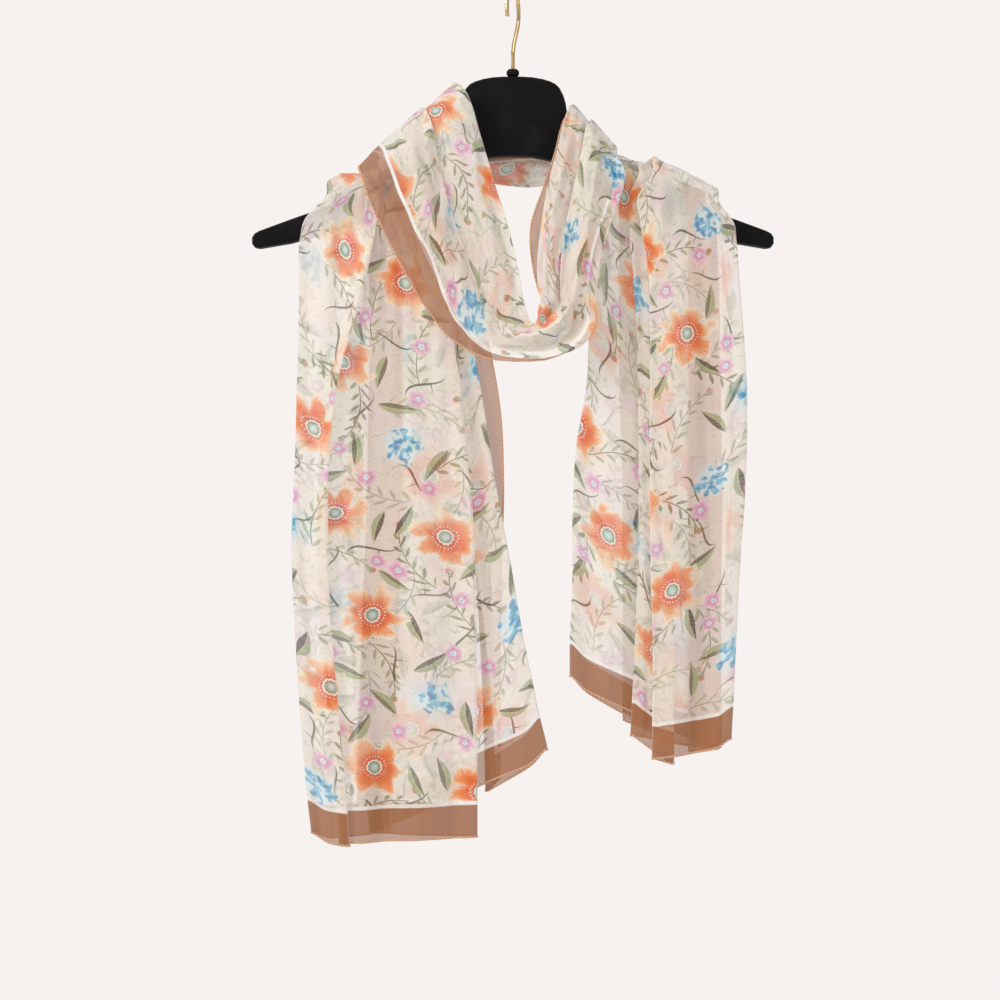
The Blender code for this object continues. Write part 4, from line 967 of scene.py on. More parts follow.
@dataclass(frozen=True)
class PrintMarks:
    """The motifs of the print. Colours are given as they show on the layered cloth."""

    edge: float = 0.03
    vein: Colour = dyed(206, 204, 170)

    def bloom(self) -> bpy.types.NodeTree:
        """Draw a large orange flower: washed petals, a pale disc and a dotted crown.

        Returns:
            The node group.
        """
        draw = Motif(Mark.BLOOM)
        share, angle, lobe, away = draw.petals(6.0, 0.50, 0.55)
        petal = draw.ramp(share, (
            (0.26, dyed(206, 112, 60)), (0.44, dyed(218, 122, 68)), (0.63, dyed(224, 140, 90)),
            (0.79, dyed(228, 160, 118)), (0.91, dyed(242, 206, 182)), (1.0, dyed(248, 230, 214)),
        )).outputs[0]
        streak = draw.ease(draw.sine(draw.add(draw.times(angle, 31.0), draw.wash, 30.0)), -0.1, 1.0)
        deep = draw.times(draw.ease(share, 0.92, 0.3), 0.5)
        petal = draw.mix(draw.times(streak, deep), petal, dyed(202, 104, 54))
        light = draw.times(draw.ease(share, 0.5, 0.95), 0.6)
        petal = draw.mix(draw.times(streak, light), petal, dyed(246, 222, 202))
        sweep = draw.ease(draw.sine(draw.add(angle, draw.own, 6.28)), 0.1, 1.0)
        sweep = draw.times(sweep, draw.ease(share, 0.25, 0.85))
        petal = draw.mix(draw.times(sweep, 0.5), petal, dyed(246, 206, 176))
        notch = draw.times(draw.ease(lobe, 0.56, 0.2), 0.66)
        petal = draw.mix(notch, petal, dyed(200, 108, 62))
        teeth = draw.sine(draw.times(angle, 11.0))
        disc = draw.ramp(draw.add(draw.add(away, draw.wash, 0.10), teeth, 0.012), (
            (0.0, dyed(208, 218, 214)), (0.12, dyed(186, 200, 192)), (0.20, dyed(146, 160, 142)),
            (0.238, dyed(150, 154, 126)), (0.254, dyed(232, 228, 214)), (0.282, dyed(240, 236, 224)),
            (0.302, dyed(240, 236, 224)[:3] + (0.0,)),
        ))
        petal = draw.mix(disc.outputs[1], petal, disc.outputs[0])
        crown = draw.ease(draw.math("COSINE", draw.times(angle, 22.0)), 0.35, 0.75)
        band = draw.size(draw.add(draw.less(away, 0.41), draw.wash, 0.12))
        dots = draw.times(crown, draw.ease(band, 0.024, 0.012))
        petal = draw.mix(dots, petal, dyed(250, 244, 236))
        return draw.finish(petal, draw.ease(draw.add(share, streak, 0.07), 1.04, 0.95))

    def bluet(self) -> bpy.types.NodeTree:
        """Draw a blue flower of loose dabs on a pale cloud.

        Returns:
            The node group.
        """
        draw = Motif(Mark.BLUET)
        share, _, lobe, away = draw.petals(5.0, 0.5, 1.1)
        body = draw.mix(draw.ease(draw.dabs, 0.52, 0.66), dyed(128, 184, 208), dyed(78, 146, 180))
        split = draw.add(draw.dabs, draw.ease(lobe, 0.3, 0.75), 0.13)
        split = draw.add(split, draw.ease(share, 0.35, 1.0), -0.09)
        split = draw.times(draw.ease(split, 0.525, 0.55), draw.ease(share, 0.95, 0.82))
        cloud = draw.times(draw.ease(away, 1.2, 0.55), 0.85)
        colour = draw.mix(split, dyed(200, 219, 222), body)
        return draw.finish(colour, draw.math("MAXIMUM", cloud, split))

    def pink(self) -> bpy.types.NodeTree:
        """Draw a small lilac-pink flower with a pale blue centre.

        Returns:
            The node group.
        """
        draw = Motif(Mark.PINK)
        share, _, lobe, _ = draw.petals(5.0, 0.4, 0.6)
        body = draw.ramp(share, (
            (0.0, dyed(160, 196, 216)), (0.2, dyed(190, 212, 226)), (0.27, dyed(234, 224, 232)),
            (0.36, dyed(198, 138, 172)), (0.66, dyed(214, 166, 194)), (1.0, dyed(226, 198, 210)),
        )).outputs[0]
        notch = draw.times(draw.ease(lobe, 0.5, 0.2), 0.4)
        return draw.finish(draw.mix(notch, body, dyed(184, 124, 160)), draw.ease(share, 1.06, 0.84))

    def leaf(self) -> bpy.types.NodeTree:
        """Draw a bowed leaf with a dark and a light half, a midrib and side veins.

        Returns:
            The node group.
        """
        draw = Motif(Mark.LEAF)
        bow, width, light = 0.14, 0.27, dyed(160, 168, 134)
        room = draw.room(draw.x)
        across = draw.add(draw.y, room, -bow)
        girth = draw.times(room, draw.add(width, draw.x, -0.35 * width))
        away = draw.size(across)
        colour = draw.mix(draw.ease(across, -0.012, 0.012), dyed(84, 76, 50), light)
        side = draw.ease(draw.sine(draw.times(draw.less(draw.x, away), 26.0)), 0.5, 1.0)
        colour = draw.mix(draw.times(side, 0.3), colour, light)
        colour = draw.mix(draw.times(draw.ease(away, 0.03, 0.01), 0.6), colour, self.vein)
        colour = draw.mix(draw.times(draw.own, 0.28), colour, dyed(176, 178, 138))
        return draw.finish(colour, draw.ease(draw.less(girth, away), 0.0, self.edge))

    def blade(self) -> bpy.types.NodeTree:
        """Draw a thin dark blade on an S-curve, with a short one that branches off it.

        Returns:
            The node group.
        """
        draw = Motif(Mark.BLADE)
        x, room = draw.x, draw.room(draw.x)
        above = draw.less(draw.y, draw.times(draw.times(x, room), 0.75))
        girth = draw.times(room, draw.add(0.062, x, -0.030))
        main = draw.ease(draw.less(girth, draw.size(above)), 0.0, self.edge)
        gap = draw.room(draw.add(-0.55, x, 2.6))
        rise = draw.add(draw.add(0.36, gap, -0.12), x, -1.05)
        off = draw.size(draw.less(draw.y, rise))
        side = draw.ease(draw.less(draw.times(gap, 0.05), off), 0.0, self.edge)
        side = draw.times(side, draw.ease(above, 0.0, self.edge))
        colour = draw.mix(draw.own, dyed(72, 66, 44), dyed(118, 116, 82))
        return draw.finish(colour, draw.math("MAXIMUM", main, side))

    def sprig(self) -> bpy.types.NodeTree:
        """Draw a fine twig with slim leaflets that ends in an olive bud with a red tip.

        Returns:
            The node group.
        """
        draw = Motif(Mark.SPRIG)
        x = draw.x
        across = draw.less(draw.y, draw.add(-0.08, draw.times(x, x), 0.30))
        away = draw.size(across)
        inside = draw.ease(draw.size(x), 1.0, 0.96)
        stem = draw.times(draw.ease(away, 0.024, 0.010), inside)
        shift = draw.times(draw.math("SIGN", across), 0.25)
        cell = draw.math("FRACT", draw.add(shift, draw.less(x, away), 2.8))
        cell = draw.times(draw.size(draw.less(cell, 0.5)), 4.6)
        reach = draw.add(0.135, x, -0.05)
        out = draw.math("DIVIDE", draw.less(away, reach), reach)
        leaflet = draw.times(draw.ease(draw.add(cell, out, out), 1.0, 0.72), inside)
        bud = draw.ease(draw.vector("DISTANCE", draw.flat(), (1.0, 0.22, 0.0)), 0.105, 0.075)
        bud_colour = draw.mix(draw.ease(x, 0.99, 1.04), dyed(150, 140, 94), dyed(208, 104, 68))
        colour = draw.mix(draw.own, dyed(118, 118, 80), dyed(172, 178, 140))
        colour = draw.mix(stem, colour, dyed(112, 110, 80))
        mask = draw.math("MAXIMUM", draw.math("MAXIMUM", stem, leaflet), bud)
        return draw.finish(draw.mix(bud, colour, bud_colour), mask)

    def drawn(self) -> tuple[tuple[Mark, bpy.types.NodeTree, float], ...]:
        """List each motif from the lowest to the top one: its mark, its group and its strength."""
        sprig = self.sprig()
        return (
            (Mark.TWIG, sprig, 0.55), (Mark.SPRIG, sprig, 0.8), (Mark.BLADE, self.blade(), 0.9),
            (Mark.LEAF, self.leaf(), 0.92), (Mark.BLUET, self.bluet(), 0.92),
            (Mark.PINK, self.pink(), 0.85), (Mark.BLOOM, self.bloom(), 0.97),
        )


@dataclass(frozen=True)
class ClothShare:
    """How much of the light chiffon stops, passes and scatters, and its sizes in metres."""

    cover: float = 0.58
    ink_cover: float = 0.16
    pleat_cover: float = 0.26
    glow: float = 0.30
    sheen: float = 0.25
    thread: float = 0.0006
    border: float = 0.0255
    line: tuple[float, float] = (0.0262, 0.0288)
    width: float = 0.5
    length: float = 1.90
    gathered_width: float = 0.36


@dataclass(frozen=True)
class ChiffonFinish:
    """Sheer printed chiffon: cream ground, flower print, white line, brown border, and a painted highlight
    along the fold lines.
    """

    share: ClothShare = ClothShare()
    ground: Colour = (0.95, 0.895, 0.812, 1.0)
    peach: Colour = (0.96, 0.87, 0.79, 1.0)
    green: Colour = (0.91, 0.90, 0.80, 1.0)
    lilac: Colour = (0.93, 0.88, 0.87, 1.0)
    brown: Colour = dyed(167, 127, 102)
    pale: Colour = (0.98, 0.965, 0.94, 1.0)
    veil: Colour = (0.49, 0.475, 0.465, 1.0)
    average: Colour = (0.88, 0.81, 0.74, 1.0)

    def edge_gap(self, bench: Bench, flat: Socket) -> Socket:
        """Distance to the nearest edge: half a side less the distance from the middle line.

        Args:
            bench: the material's bench.
            flat: the place on the flat cloth.

        Returns:
            The smaller of the two distances, in metres.
        """
        gaps = []
        for socket, side in zip(bench.parts(flat), (self.share.width, self.share.length)):
            gaps.append(bench.less(0.5 * side, bench.size(bench.less(socket, 0.5 * side))))
        return bench.math("MINIMUM", *gaps)

    def weave(self, bench: Bench, flat: Socket) -> tuple[Socket, Socket]:
        """Draw the crossing threads, the product of two sines, and the slubs along the weft.

        Args:
            bench: the material's bench.
            flat: the place on the flat cloth.

        Returns:
            The threads' height and the slubs.
        """
        u, v, _ = bench.parts(bench.scale(flat, 2.0 * math.pi / self.share.thread))
        long = bench.vector("MULTIPLY", flat, (1100.0, 420.0, 1.0))
        return bench.times(bench.sine(u), bench.sine(v)), bench.noise(long, 1.0, 1.0, flat=True).outputs[0]

    def draw_print(self, bench: Bench, flat: Socket) -> tuple[Socket, Socket]:
        """Put the ground, the motifs, the white line and the border together.

        Args:
            bench: the material's bench.
            flat: the place on the flat cloth.

        Returns:
            The colour, and how much ink lies on the cloth.
        """
        wide = bench.noise(flat, 16.0, 1.0, flat=True).outputs["Color"]
        warm, cool, cold = list(bench.node("SeparateColor", {0: wide}).outputs)
        colour = bench.mix(bench.ease(warm, 0.48, 0.68), self.ground, self.peach)
        colour = bench.mix(bench.ease(cool, 0.52, 0.70), colour, self.green)
        colour = bench.mix(bench.ease(cold, 0.54, 0.70), colour, self.lilac)
        wash = bench.noise(flat, 95.0, 0.0, flat=True).outputs[0]
        dabs = bench.noise(flat, 165.0, 1.0, flat=True).outputs[0]
        level = bench.size(bench.less(wash, 0.5))
        faint = bench.times(bench.ease(level, 0.026, 0.010), bench.ease(dabs, 0.44, 0.58))
        scribble = bench.mix(bench.ease(cool, 0.44, 0.56), dyed(204, 172, 184), dyed(158, 168, 130))
        colour = bench.mix(bench.times(faint, 0.55), colour, scribble)
        ink = bench.times(faint, 0.2)
        for mark, tree, strength in PrintMarks().drawn():
            place = bench.node("Attribute", attribute_name=mark.value).outputs["Vector"]
            motif = bench.node("Group", node_tree=tree)
            bench.fill(motif, {"Place": place, "Wash": wash, "Dabs": dabs})
            cover = bench.times(motif.outputs["Mask"], strength)
            colour = bench.mix(cover, colour, motif.outputs["Colour"])
            ink = bench.math("MAXIMUM", ink, cover)
        gap = self.edge_gap(bench, flat)
        first, last = self.share.line
        ink = bench.times(ink, bench.ease(gap, first, last))
        line = bench.ease(gap, last + 0.0004, last - 0.0002)
        colour = bench.mix(line, colour, self.pale)
        rim = bench.ease(gap, first, self.share.border)
        return bench.mix(rim, colour, self.brown), bench.math("MAXIMUM", ink, line)

    def build(self) -> bpy.types.Material:
        """Make the material: part see-through, part lit cloth and part glow from behind.

        Rays that have bounced off another surface meet a plain cloth of the average
        colour, and rays towards a light pass a tinted veil.

        Returns:
            The material.
        """
        material, bench, _ = new_material("printed_chiffon")
        bench.tree.nodes.clear()
        flat = bench.node("UVMap", uv_map="cloth").outputs[0]
        colour, ink = self.draw_print(bench, flat)
        threads, slubs = self.weave(bench, flat)
        pleat = bench.node("Attribute", attribute_name="pleat").outputs["Fac"]
        # Painted highlight: the colour is mixed towards pale cream along the fold lines, so that the fold
        # edges read lighter.
        colour = bench.mix(bench.times(pleat, 0.3), colour, self.pale)
        colour = bench.scale(colour, bench.add(bench.add(0.95, slubs, 0.10), threads, 0.04))
        normal = bench.bump(threads, 0.3, 0.0003)
        cloth = bench.node("BsdfPrincipled", {
            "Base Color": colour, "Roughness": 0.72, "Normal": normal,
            "Sheen Weight": self.share.sheen, "Sheen Roughness": 0.45, "Specular IOR Level": 0.2,
        })
        glow = bench.node("BsdfTranslucent", {"Color": colour, "Normal": normal})
        clear = bench.node("BsdfTransparent")
        cover = bench.add(self.share.cover - 0.04, slubs, 0.08)
        cover = bench.add(cover, ink, self.share.ink_cover)
        cover = bench.add(cover, pleat, self.share.pleat_cover)
        sheer = bench.blend(cover, clear, bench.blend(self.share.glow, cloth, glow))
        plain = bench.node("BsdfDiffuse", {"Color": self.average})
        haze = bench.node("BsdfTranslucent", {"Color": self.average})
        simple = bench.blend(self.share.cover, clear, bench.blend(self.share.glow, plain, haze))
        ray = bench.node("LightPath")
        seen = bench.blend(ray.outputs["Is Camera Ray"], simple, sheer)
        veil = bench.node("BsdfTransparent", {"Color": self.veil})
        whole = bench.blend(ray.outputs["Is Shadow Ray"], seen, veil)
        bench.node("OutputMaterial", {"Surface": whole.outputs[0]})
        return material


@dataclass(frozen=True)
class HemFinish:
    """The rolled edge: brown cloth, rolled tight, with slanting stitches."""

    brown: Colour = srgb(194, 144, 108)
    worn: Colour = srgb(196, 146, 110)
    thread: Colour = srgb(222, 182, 148)
    stitch: float = 0.0034

    def build(self) -> bpy.types.Material:
        """Make the material from the hem's own map, along it and round it.

        Returns:
            The material.
        """
        material, bench, shader = new_material("rolled_hem")
        flat = bench.node("UVMap", uv_map="hem").outputs[0]
        length, turn, _ = bench.parts(flat)
        cell = bench.math("FRACT", bench.add(turn, length, 1.0 / self.stitch))
        stitch = bench.ease(bench.size(bench.less(cell, 0.5)), 0.16, 0.08)
        slub = bench.noise(flat, 900.0, 1.0).outputs[0]
        bench.fill(shader, {
            "Base Color": bench.mix(stitch, bench.mix(slub, self.brown, self.worn), self.thread),
            "Normal": bench.bump(bench.math("ADD", stitch, slub), 0.6, 0.0003),
            "Roughness": 0.7, "Sheen Weight": 0.2,
        })
        return material


@dataclass(frozen=True)
class PlasticFinish:
    """Matt black moulded plastic with a fine grain and faint rubbed patches."""

    dark: Colour = (0.004, 0.004, 0.0045, 1.0)
    rubbed: Colour = (0.009, 0.0088, 0.009, 1.0)

    def build(self) -> bpy.types.Material:
        """Make the material from Object coordinates.

        Returns:
            The material.
        """
        material, bench, shader = new_material("moulded_plastic")
        place = bench.node("TexCoord").outputs["Object"]
        patch = bench.ease(bench.noise(place, 38.0, 3.0).outputs[0], 0.45, 0.75)
        bench.fill(shader, {
            "Base Color": bench.mix(patch, self.dark, self.rubbed),
            "Roughness": bench.add(0.52, patch, 0.12), "Specular IOR Level": 0.10,
            "Normal": bench.bump(bench.noise(place, 1400.0, 2.0).outputs[0], 0.35, 0.0002),
        })
        return material


@dataclass(frozen=True)
class WireFinish:
    """Gold-coloured steel wire, drawn lengthwise, a little dulled."""

    bright: Colour = (0.78, 0.56, 0.26, 1.0)
    dull: Colour = (0.66, 0.47, 0.21, 1.0)
    draw_marks: tuple[float, float, float] = (4200.0, 4200.0, 90.0)

    def build(self) -> bpy.types.Material:
        """Make the material from Object coordinates.

        Returns:
            The material.
        """
        material, bench, shader = new_material("gold_wire")
        place = bench.node("TexCoord").outputs["Object"]
        haze = bench.ease(bench.noise(place, 70.0, 2.0).outputs[0], 0.42, 0.72)
        lines = bench.noise(bench.vector("MULTIPLY", place, self.draw_marks), 1.0, 1.0)
        bench.fill(shader, {
            "Base Color": bench.mix(haze, self.bright, self.dull),
            "Roughness": bench.add(0.20, haze, 0.18), "Metallic": 1.0,
            "Normal": bench.bump(lines.outputs[0], 0.04, 0.0001),
        })
        return material


# ------------------------------------------------------------------ the scarf


def in_scene(name: str, data: bpy.types.ID) -> bpy.types.Object:
    """Make an object of a mesh, a light or a camera and put it in the scene.

    Args:
        name: the object's name.
        data: the mesh, light or camera.

    Returns:
        The object.
    """
    made = bpy.data.objects.new(name, data)
    bpy.context.scene.collection.objects.link(made)
    return made


@dataclass(frozen=True)
class DrapedCloth:
    """The draped surface from hem to hem, with what belongs to each point, rows by columns."""

    points: np.ndarray
    normals: np.ndarray
    across: np.ndarray
    along: np.ndarray
    pleat: np.ndarray
    seams: np.ndarray

    def rows(self, stretch: Stretch) -> slice:
        """Give the rows of one stretch, with the seam at each end."""
        number = list(Stretch).index(stretch)
        return slice(self.seams[number], self.seams[number + 1] + 1)


@dataclass(frozen=True)
class Scarf:
    """The scarf's five sheets and their rolled hems.

    Marks are (number of the seam, rows past it, value). On the tails the whole width of
    the cloth shares its folds evenly. In the loop the runs that show keep their own
    width. In the first turn the front run does, too. The border's run is let out to
    the border's full width where it is tucked in.
    """

    path: ScarfPath = ScarfPath()
    drape: Drape = Drape()
    chart: PrintChart = PrintChart()
    share: ClothShare = ClothShare()
    face_marks: Table = ((2, 0, 0.0), (2, 12, 1.0), (3, -6, 1.0), (3, 12, 0.0))
    front_marks: Table = ((1, -25, 0.0), (1, 0, 0.9), (2, 0, 0.9), (2, 12, 0.0))
    tuck_marks: Table = ((1, -20, 0.0), (1, 0, 1.0), (3, -60, 1.0), (3, -45, 0.0),
                         (3, 6, 0.0), (3, 20, 1.0), (4, 0, 1.0), (4, 20, 0.0))
    band_marks: Table = ((1, -14, 0.0), (1, 0, 1.0), (4, 0, 1.0), (4, 14, 0.0))
    seam_fade: float = 6.0
    border_room: float = 33.0
    true_end: float = 0.2
    pleat_width: float = 1.1
    corner_lift: float = 7.0
    corner_reach: tuple[float, float] = (9.0, 24.0)
    hem_radius: float = 0.6
    hem_flatness: float = 1.35
    hem_sides: int = 6

    def flat_places(self, points: np.ndarray, seams: np.ndarray) -> tuple[np.ndarray, np.ndarray]:
        """Give each point its place on the flat cloth.

        Across, the runs that show in the loop keep their own width and the hidden ones
        share the rest. Along, distances count from the left hem at one end and from
        the right hem at the other, and the cloth beyond each true end shares what is over.

        Args:
            points: rows by columns by (x, y, z).
            seams: the row of each of the six seams.

        Returns:
            The distances across and along the flat cloth.
        """
        width, length = self.share.width / MM, self.share.length / MM
        run = self.path.line.columns()[0][:-1]
        steps = np.linalg.norm(np.diff(points, axis=1), axis=2)
        kept = by_seam(len(points), seams, self.face_marks)[:, None] * (run >= LOOP_RUN)
        kept = kept + by_seam(len(points), seams, self.front_marks)[:, None] * (run == 0)
        border = run == LAST_RUN
        tucked = by_seam(len(points), seams, self.tuck_marks)
        room = np.maximum(self.border_room / np.maximum(steps[:, border].sum(axis=1), 1.0), 1.0)
        steps = steps * np.where(border, (1.0 + tucked * (room - 1.0))[:, None], 1.0)
        free = (steps * (1.0 - kept)).sum(axis=1)
        scale = ((width - (steps * kept).sum(axis=1)) / free)[:, None]
        across = np.cumsum(steps * (kept + scale * (1.0 - kept)), axis=1)
        across = np.concatenate((np.zeros((len(points), 1)), across), axis=1)
        gone = gone_along(points)
        over = np.clip((gone / gone[-1] - self.true_end) / (1.0 - 2.0 * self.true_end), 0.0, 1.0)
        return across, gone + over * (length - gone[-1])

    def pleats(self, across: np.ndarray) -> np.ndarray:
        """Mark the pressed folds, where the cloth lies doubled and is painted paler as a painted highlight:
        a bell of the flat distance to the nearest fold line.

        Args:
            across: rows by columns of distances across the flat cloth.

        Returns:
            1 on a fold line, falling to 0 about two millimetres away from it.
        """
        lines = across[:, self.path.line.columns()[4] == 0.0]
        away = np.abs(across[:, :, None] - lines[:, None, :]).min(axis=2)
        return np.exp(-(away / self.pleat_width) ** 2)

    def corners(self, points: np.ndarray, along: np.ndarray) -> np.ndarray:
        """Round the hems' outer corners: a lift times bells of the gaps to the side and to the hem.

        Args:
            points: rows by columns by (x, y, z).
            along: the points' distances along the flat cloth.

        Returns:
            How far each point goes up, in millimetres.
        """
        x = points[..., 0]
        side_gap = np.minimum(x - x.min(axis=1, keepdims=True), x.max(axis=1, keepdims=True) - x)
        hem_gap = np.minimum(along, self.share.length / MM - along)
        side, hem = self.corner_reach
        return self.corner_lift * np.exp(-(side_gap / side) ** 2 - (hem_gap / hem) ** 2)

    def lifted(self, points: np.ndarray, seams: np.ndarray) -> np.ndarray:
        """Move the folded surface into its creases.

        A point moves straight to the front on the tails, and square to the layers on the
        band between them. The movement fades out towards each seam between stretches.

        Args:
            points: rows by columns by (x, y, z).
            seams: the row of each of the six seams.

        Returns:
            The moved points.
        """
        run = self.path.line.columns()[0]
        slot = self.path.line.lay(np.arange(float(FOLDS)), 0.0, (EDGE_SLOT, EDGE_SLOT))[:, 1]
        facing = np.where(run % 2 == 0, 1.0, -1.0)[None, :, None]
        outward = unit((normals_of(points) * facing).mean(axis=1, keepdims=True))
        on_band = by_seam(len(points), seams, self.band_marks)[:, None, None]
        way = unit(np.array((0.0, -1.0, 0.0)) * (1.0 - on_band) + outward * on_band)
        outer, inner = points[:, np.argmax(run == LAST_RUN)], points[:, np.argmax(run == LOOP_RUN)]
        band = np.einsum("rcx,rx->rc", points - outer[:, None], unit(inner - outer))
        path = gone_along(points.mean(axis=1))
        lifts = np.zeros(points.shape[:2])
        for number, stretch in enumerate(Stretch):
            part = slice(seams[number], seams[number + 1] + 1)
            lifts[part] = self.drape.lift(points[part], stretch, slot, band[part], path[part])
        seam_gap = np.abs(np.arange(float(len(points)))[:, None] - seams[1:-1]).min(axis=1)
        lifts *= ease(seam_gap, 0.0, self.seam_fade)[:, None]
        return points + lifts[..., None] * way

    def draped(self) -> DrapedCloth:
        """Work out the draped surface and what belongs to each of its points.

        Returns:
            The points, normals, flat places, pleats and seams.
        """
        points, seams = self.path.surface()
        points = self.lifted(points, seams)
        points[..., 2] += self.corners(points, self.flat_places(points, seams)[1])
        across, along = self.flat_places(points, seams)
        return DrapedCloth(points, normals_of(points), across, along, self.pleats(across), seams)

    def sheet(self, stretch: Stretch, whole: DrapedCloth, material: bpy.types.Material) -> bpy.types.Object:
        """Make one stretch as a single thin sheet.

        Args:
            stretch: which stretch.
            whole: the draped surface.
            material: the cloth's finish.

        Returns:
            The mesh object, with its flat places, bake map and motif attributes.
        """
        part = whole.rows(stretch)
        points = whole.points[part]
        grid = np.arange(points[..., 0].size).reshape(points.shape[:2])
        corners = (grid[:-1, :-1], grid[:-1, 1:], grid[1:, 1:], grid[1:, :-1])
        faces = np.stack([item.ravel() for item in corners], axis=1)
        mesh = bpy.data.meshes.new(stretch.value + "_sheet")
        mesh.from_pydata(points.reshape(-1, 3) * MM, [], faces)
        u, v = whole.across[part].ravel(), whole.along[part].ravel()
        baked = np.column_stack((u / u.max(), (v - v.min()) / (v.max() - v.min())))
        for name, place in (("cloth", np.column_stack((u, v)) * MM), ("OFBake", baked)):
            mesh.uv_layers.new(name=name).data.foreach_set("uv", place[faces.ravel()].ravel())
        for mark in Mark:
            data = mesh.attributes.new(mark.value, "FLOAT_VECTOR", "CORNER")
            data.data.foreach_set("vector", self.chart.places(mark, u[faces], v[faces]).ravel())
        fold = mesh.attributes.new("pleat", "FLOAT", "POINT")
        fold.data.foreach_set("value", whole.pleat[part].ravel())
        mesh.shade_smooth()
        mesh.normals_split_custom_set_from_vertices(whole.normals[part].reshape(-1, 3))
        mesh.materials.append(material)
        return in_scene(stretch.value + "_cloth", mesh)

    def free_edges(self, stretch: Stretch, whole: DrapedCloth) -> list[tuple[np.ndarray, np.ndarray]]:
        """Find the free edges of one stretch.

        A tail has one, down one side, along its end and up the other side. The other
        stretches have two, one on each side.

        Args:
            stretch: which stretch.
            whole: the draped surface.

        Returns:
            For each edge its points and its normals.
        """
        part = whole.rows(stretch)
        grids = (whole.points[part], whole.normals[part])
        if stretch is Stretch.LEFT_TAIL:
            grids = tuple(grid[::-1] for grid in grids)
        if stretch in TAILS:
            return [tuple(np.concatenate((grid[:, 0], grid[-1, 1:-1], grid[::-1, -1])) for grid in grids)]
        return [tuple(grid[:, side] for grid in grids) for side in (0, -1)]

    def roll(self, line: np.ndarray, normal: np.ndarray) -> tuple[np.ndarray, np.ndarray, np.ndarray]:
        """Roll a hem round an edge: an ellipse of a few sides, flat on the cloth, carried along it.

        Args:
            line: the edge's points.
            normal: the cloth's normals there.

        Returns:
            The roll's points, its faces, and for each corner of them the distance along
            the edge in metres and the share of a turn.
        """
        tangent = unit(np.gradient(line, axis=0))
        side = unit(np.cross(tangent, normal))
        upright = unit(np.cross(side, tangent))
        angles = 2.0 * math.pi * np.arange(self.hem_sides) / self.hem_sides
        ring = self.hem_flatness * np.cos(angles)[None, :, None] * side[:, None, :]
        ring = ring + np.sin(angles)[None, :, None] * upright[:, None, :]
        tube = line[:, None, :] + self.hem_radius * ring
        grid = np.arange(len(line) * self.hem_sides).reshape(len(line), self.hem_sides)
        after = np.roll(grid, -1, axis=1)
        quads = np.stack((grid[:-1], after[:-1], after[1:], grid[1:]), axis=-1)
        gone = gone_along(line) * MM
        turn = np.broadcast_to(np.arange(self.hem_sides), grid[:-1].shape) / self.hem_sides
        step = turn + 1.0 / self.hem_sides
        begin, finish = (np.broadcast_to(row[:, None], turn.shape) for row in (gone[:-1], gone[1:]))
        places = np.stack((begin, turn, begin, step, finish, step, finish, turn), axis=-1)
        return tube.reshape(-1, 3), quads.reshape(-1, 4), places.ravel()

    def hem(self, stretch: Stretch, whole: DrapedCloth, material: bpy.types.Material) -> bpy.types.Object:
        """Make the rolled hem of one stretch: a thin roll along its free edges.

        Args:
            stretch: which stretch.
            whole: the draped surface.
            material: the hem's finish.

        Returns:
            The mesh object.
        """
        rolls = [self.roll(line, normal) for line, normal in self.free_edges(stretch, whole)]
        vertices, faces, places = (list(items) for items in zip(*rolls))
        firsts = np.cumsum([0] + [len(item) for item in vertices[:-1]])
        faces = [item + first for item, first in zip(faces, firsts)]
        mesh = bpy.data.meshes.new(stretch.value + "_hem")
        mesh.from_pydata(np.concatenate(vertices) * MM, [], np.concatenate(faces))
        mesh.uv_layers.new(name="hem").data.foreach_set("uv", np.concatenate(places))
        mesh.shade_smooth()
        mesh.materials.append(material)
        return in_scene(stretch.value + "_hem", mesh)

    def build(self) -> list[bpy.types.Object]:
        """Make all the sheets and hems, hang them from the root and hide the cloth solids that they
        replace.

        Returns:
            The sheet and the hem of each stretch in turn.
        """
        whole = self.draped()
        chiffon = ChiffonFinish(self.share).build()
        rolled = HemFinish().build()
        pieces = []
        for stretch in Stretch:
            cloth = self.sheet(stretch, whole, chiffon)
            hem = self.hem(stretch, whole, rolled)
            for piece in (cloth, hem):
                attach(piece, "root")
            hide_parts(stretch.value)
            points = whole.points[whole.rows(stretch)]
            width = gone_along(points.swapaxes(0, 1))[-1].mean()
            pieces += [cloth, hem]
        return pieces


# ------------------------------------------------------------------ hanger and studio


@dataclass(frozen=True)
class Hanger:
    """The hanger's own solids, which keep their shapes and get their finishes."""

    nodes: dict[str, bpy.types.Object]

    def dress(self) -> None:
        """Give the body, the collar and the hook their materials."""
        plastic = PlasticFinish().build()
        wire = WireFinish().build()
        for name, material in (("hanger_body", plastic), ("hanger_collar", plastic), ("hanger_hook", wire)):
            for place in self.nodes[name].material_slots:
                place.material = material
            LOG.info("%s dressed", name)


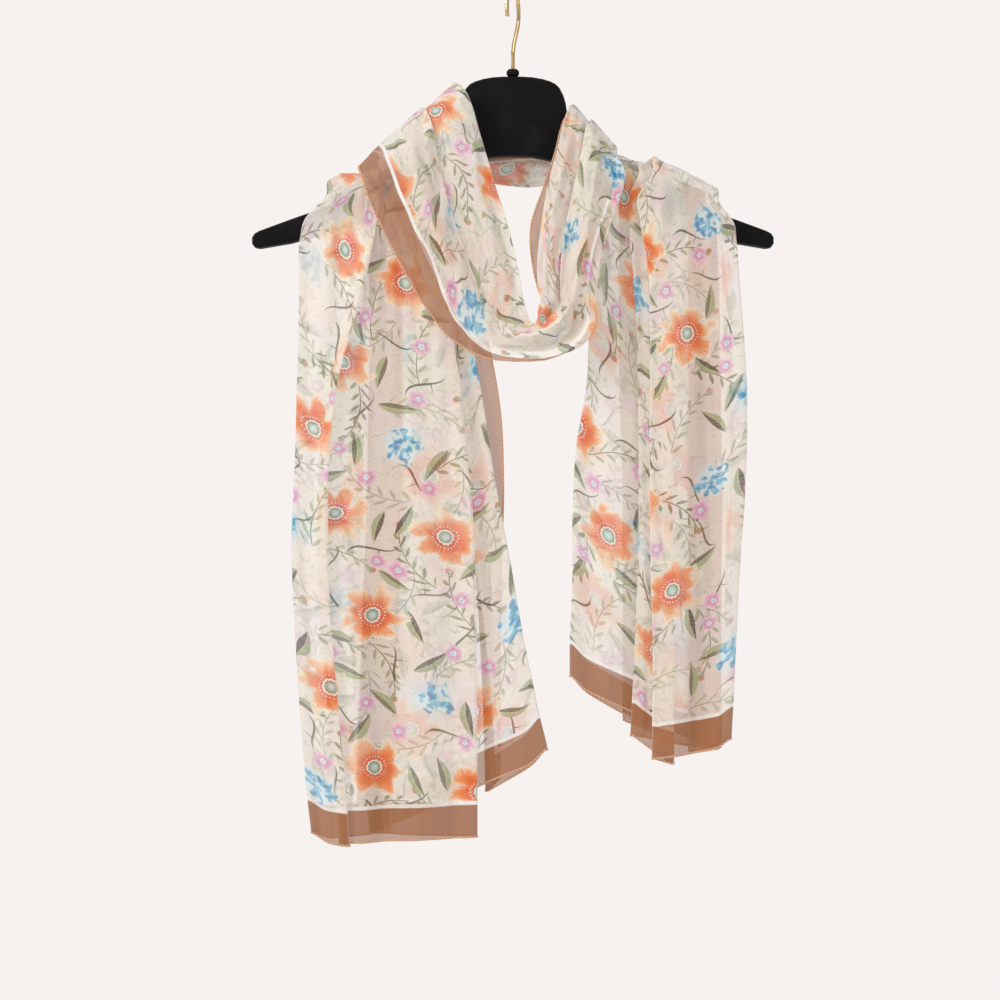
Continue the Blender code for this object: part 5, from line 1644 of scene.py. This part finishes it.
@dataclass(frozen=True)
class Studio:
    """A pale floor far below, an even pale surrounding, three soft lights and the camera.

    A lamp is (name, place, size, power), in metres and watts, and is aimed at the middle.
    """

    floor: float = -1.9
    half_width: float = 5.0
    eye: Point = (-0.0104, -2.23, -0.416)
    lens: float = 99.0
    sensor: float = 36.0
    middle: Point = (0.0, 0.0, -0.38)
    lamps: tuple[tuple[str, Point, float, float], ...] = (
        ("key", (-2.0, -1.7, 1.0), 1.0, 53.0),
        ("fill", (2.0, -2.2, 0.1), 1.8, 17.0),
        ("top", (0.0, -0.5, 1.7), 1.6, 12.0),
    )
    paper: tuple[Colour, Colour] = ((0.39, 0.374, 0.368, 1.0), (0.41, 0.394, 0.388, 1.0))
    glow_colour: Colour = (1.0, 0.954, 0.937, 1.0)
    glow: float = 0.58
    edge_glow: float = 0.35
    black: Colour = (0.0, 0.0, 0.0, 1.0)
    seen: Colour = (0.930, 0.887, 0.871, 1.0)
    air: Colour = (0.97, 0.96, 0.96, 1.0)
    air_strength: float = 0.47

    def ground(self) -> None:
        """Make the floor: a flat square of pale paper that melts into the surrounding at its edge."""
        half = self.half_width
        corners = [(-half, -half, self.floor), (half, -half, self.floor),
                   (half, half, self.floor), (-half, half, self.floor)]
        mesh = bpy.data.meshes.new("floor")
        mesh.from_pydata(corners, [], [(0, 1, 2, 3)])
        material, bench, shader = new_material("floor_paper")
        place = bench.node("TexCoord").outputs["Object"]
        fade = bench.ease(bench.vector("LENGTH", place), -self.floor, half)
        paper = bench.mix(bench.noise(place, 3.0, 3.0).outputs[0], *self.paper)
        bench.fill(shader, {
            "Base Color": bench.mix(fade, paper, self.black), "Roughness": 0.9,
            "Emission Color": self.glow_colour, "Specular IOR Level": 0.0,
            "Emission Strength": bench.add(self.glow, fade, self.edge_glow),
        })
        mesh.materials.append(material)
        in_scene("floor", mesh)

    def surround(self) -> None:
        """Make the surrounding: soft light from all round, seen as even pale paper."""
        world = bpy.data.worlds.new("room")
        bpy.context.scene.world = world
        world.use_nodes = True
        world.node_tree.nodes.clear()
        bench = Bench(world.node_tree)
        lit = bench.node("Background", {"Color": self.air, "Strength": self.air_strength})
        paper = bench.node("Background", {"Color": self.seen, "Strength": 1.0})
        both = bench.blend(bench.node("LightPath").outputs["Is Camera Ray"], lit, paper)
        bench.node("OutputWorld", {"Surface": both.outputs[0]})

    def light(self, name: str, place: Point, size: float, power: float) -> None:
        """Put a square soft light at a place, aimed at the middle.

        Args:
            name: its name.
            place: where it is, in metres.
            size: its side in metres.
            power: its power in watts.
        """
        data = bpy.data.lights.new(name, "AREA")
        data.size = size
        data.energy = power
        lamp = in_scene(name, data)
        way = np.array(self.middle) - np.array(place)
        dip = math.atan2(np.hypot(way[0], way[1]), -way[2])
        lamp.location = place
        lamp.rotation_euler = (dip, 0.0, math.atan2(way[1], way[0]) - 0.5 * math.pi)

    def build(self) -> None:
        """Make the floor, the surrounding, the lights and the camera."""
        self.ground()
        self.surround()
        for lamp in self.lamps:
            self.light(*lamp)
        data = bpy.data.cameras.new("camera")
        data.lens = self.lens
        data.sensor_width = self.sensor
        camera = in_scene("camera", data)
        camera.location = self.eye
        camera.rotation_euler = (0.5 * math.pi, 0.0, 0.0)
        bpy.context.scene.camera = camera
        bpy.context.scene.view_settings.view_transform = "Standard"


def main() -> None:
    """Load the frame, dress the hanger, make the scarf and set the studio."""
    logging.basicConfig(level=logging.INFO, format="%(name)s %(message)s")
    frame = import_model()
    Hanger(frame["nodes"]).dress()
    for piece in Scarf().build():
        LOG.info("%s: %d faces", piece.name, len(piece.data.polygons))
    Studio().build()
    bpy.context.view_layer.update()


if __name__ == "__main__":
    main()
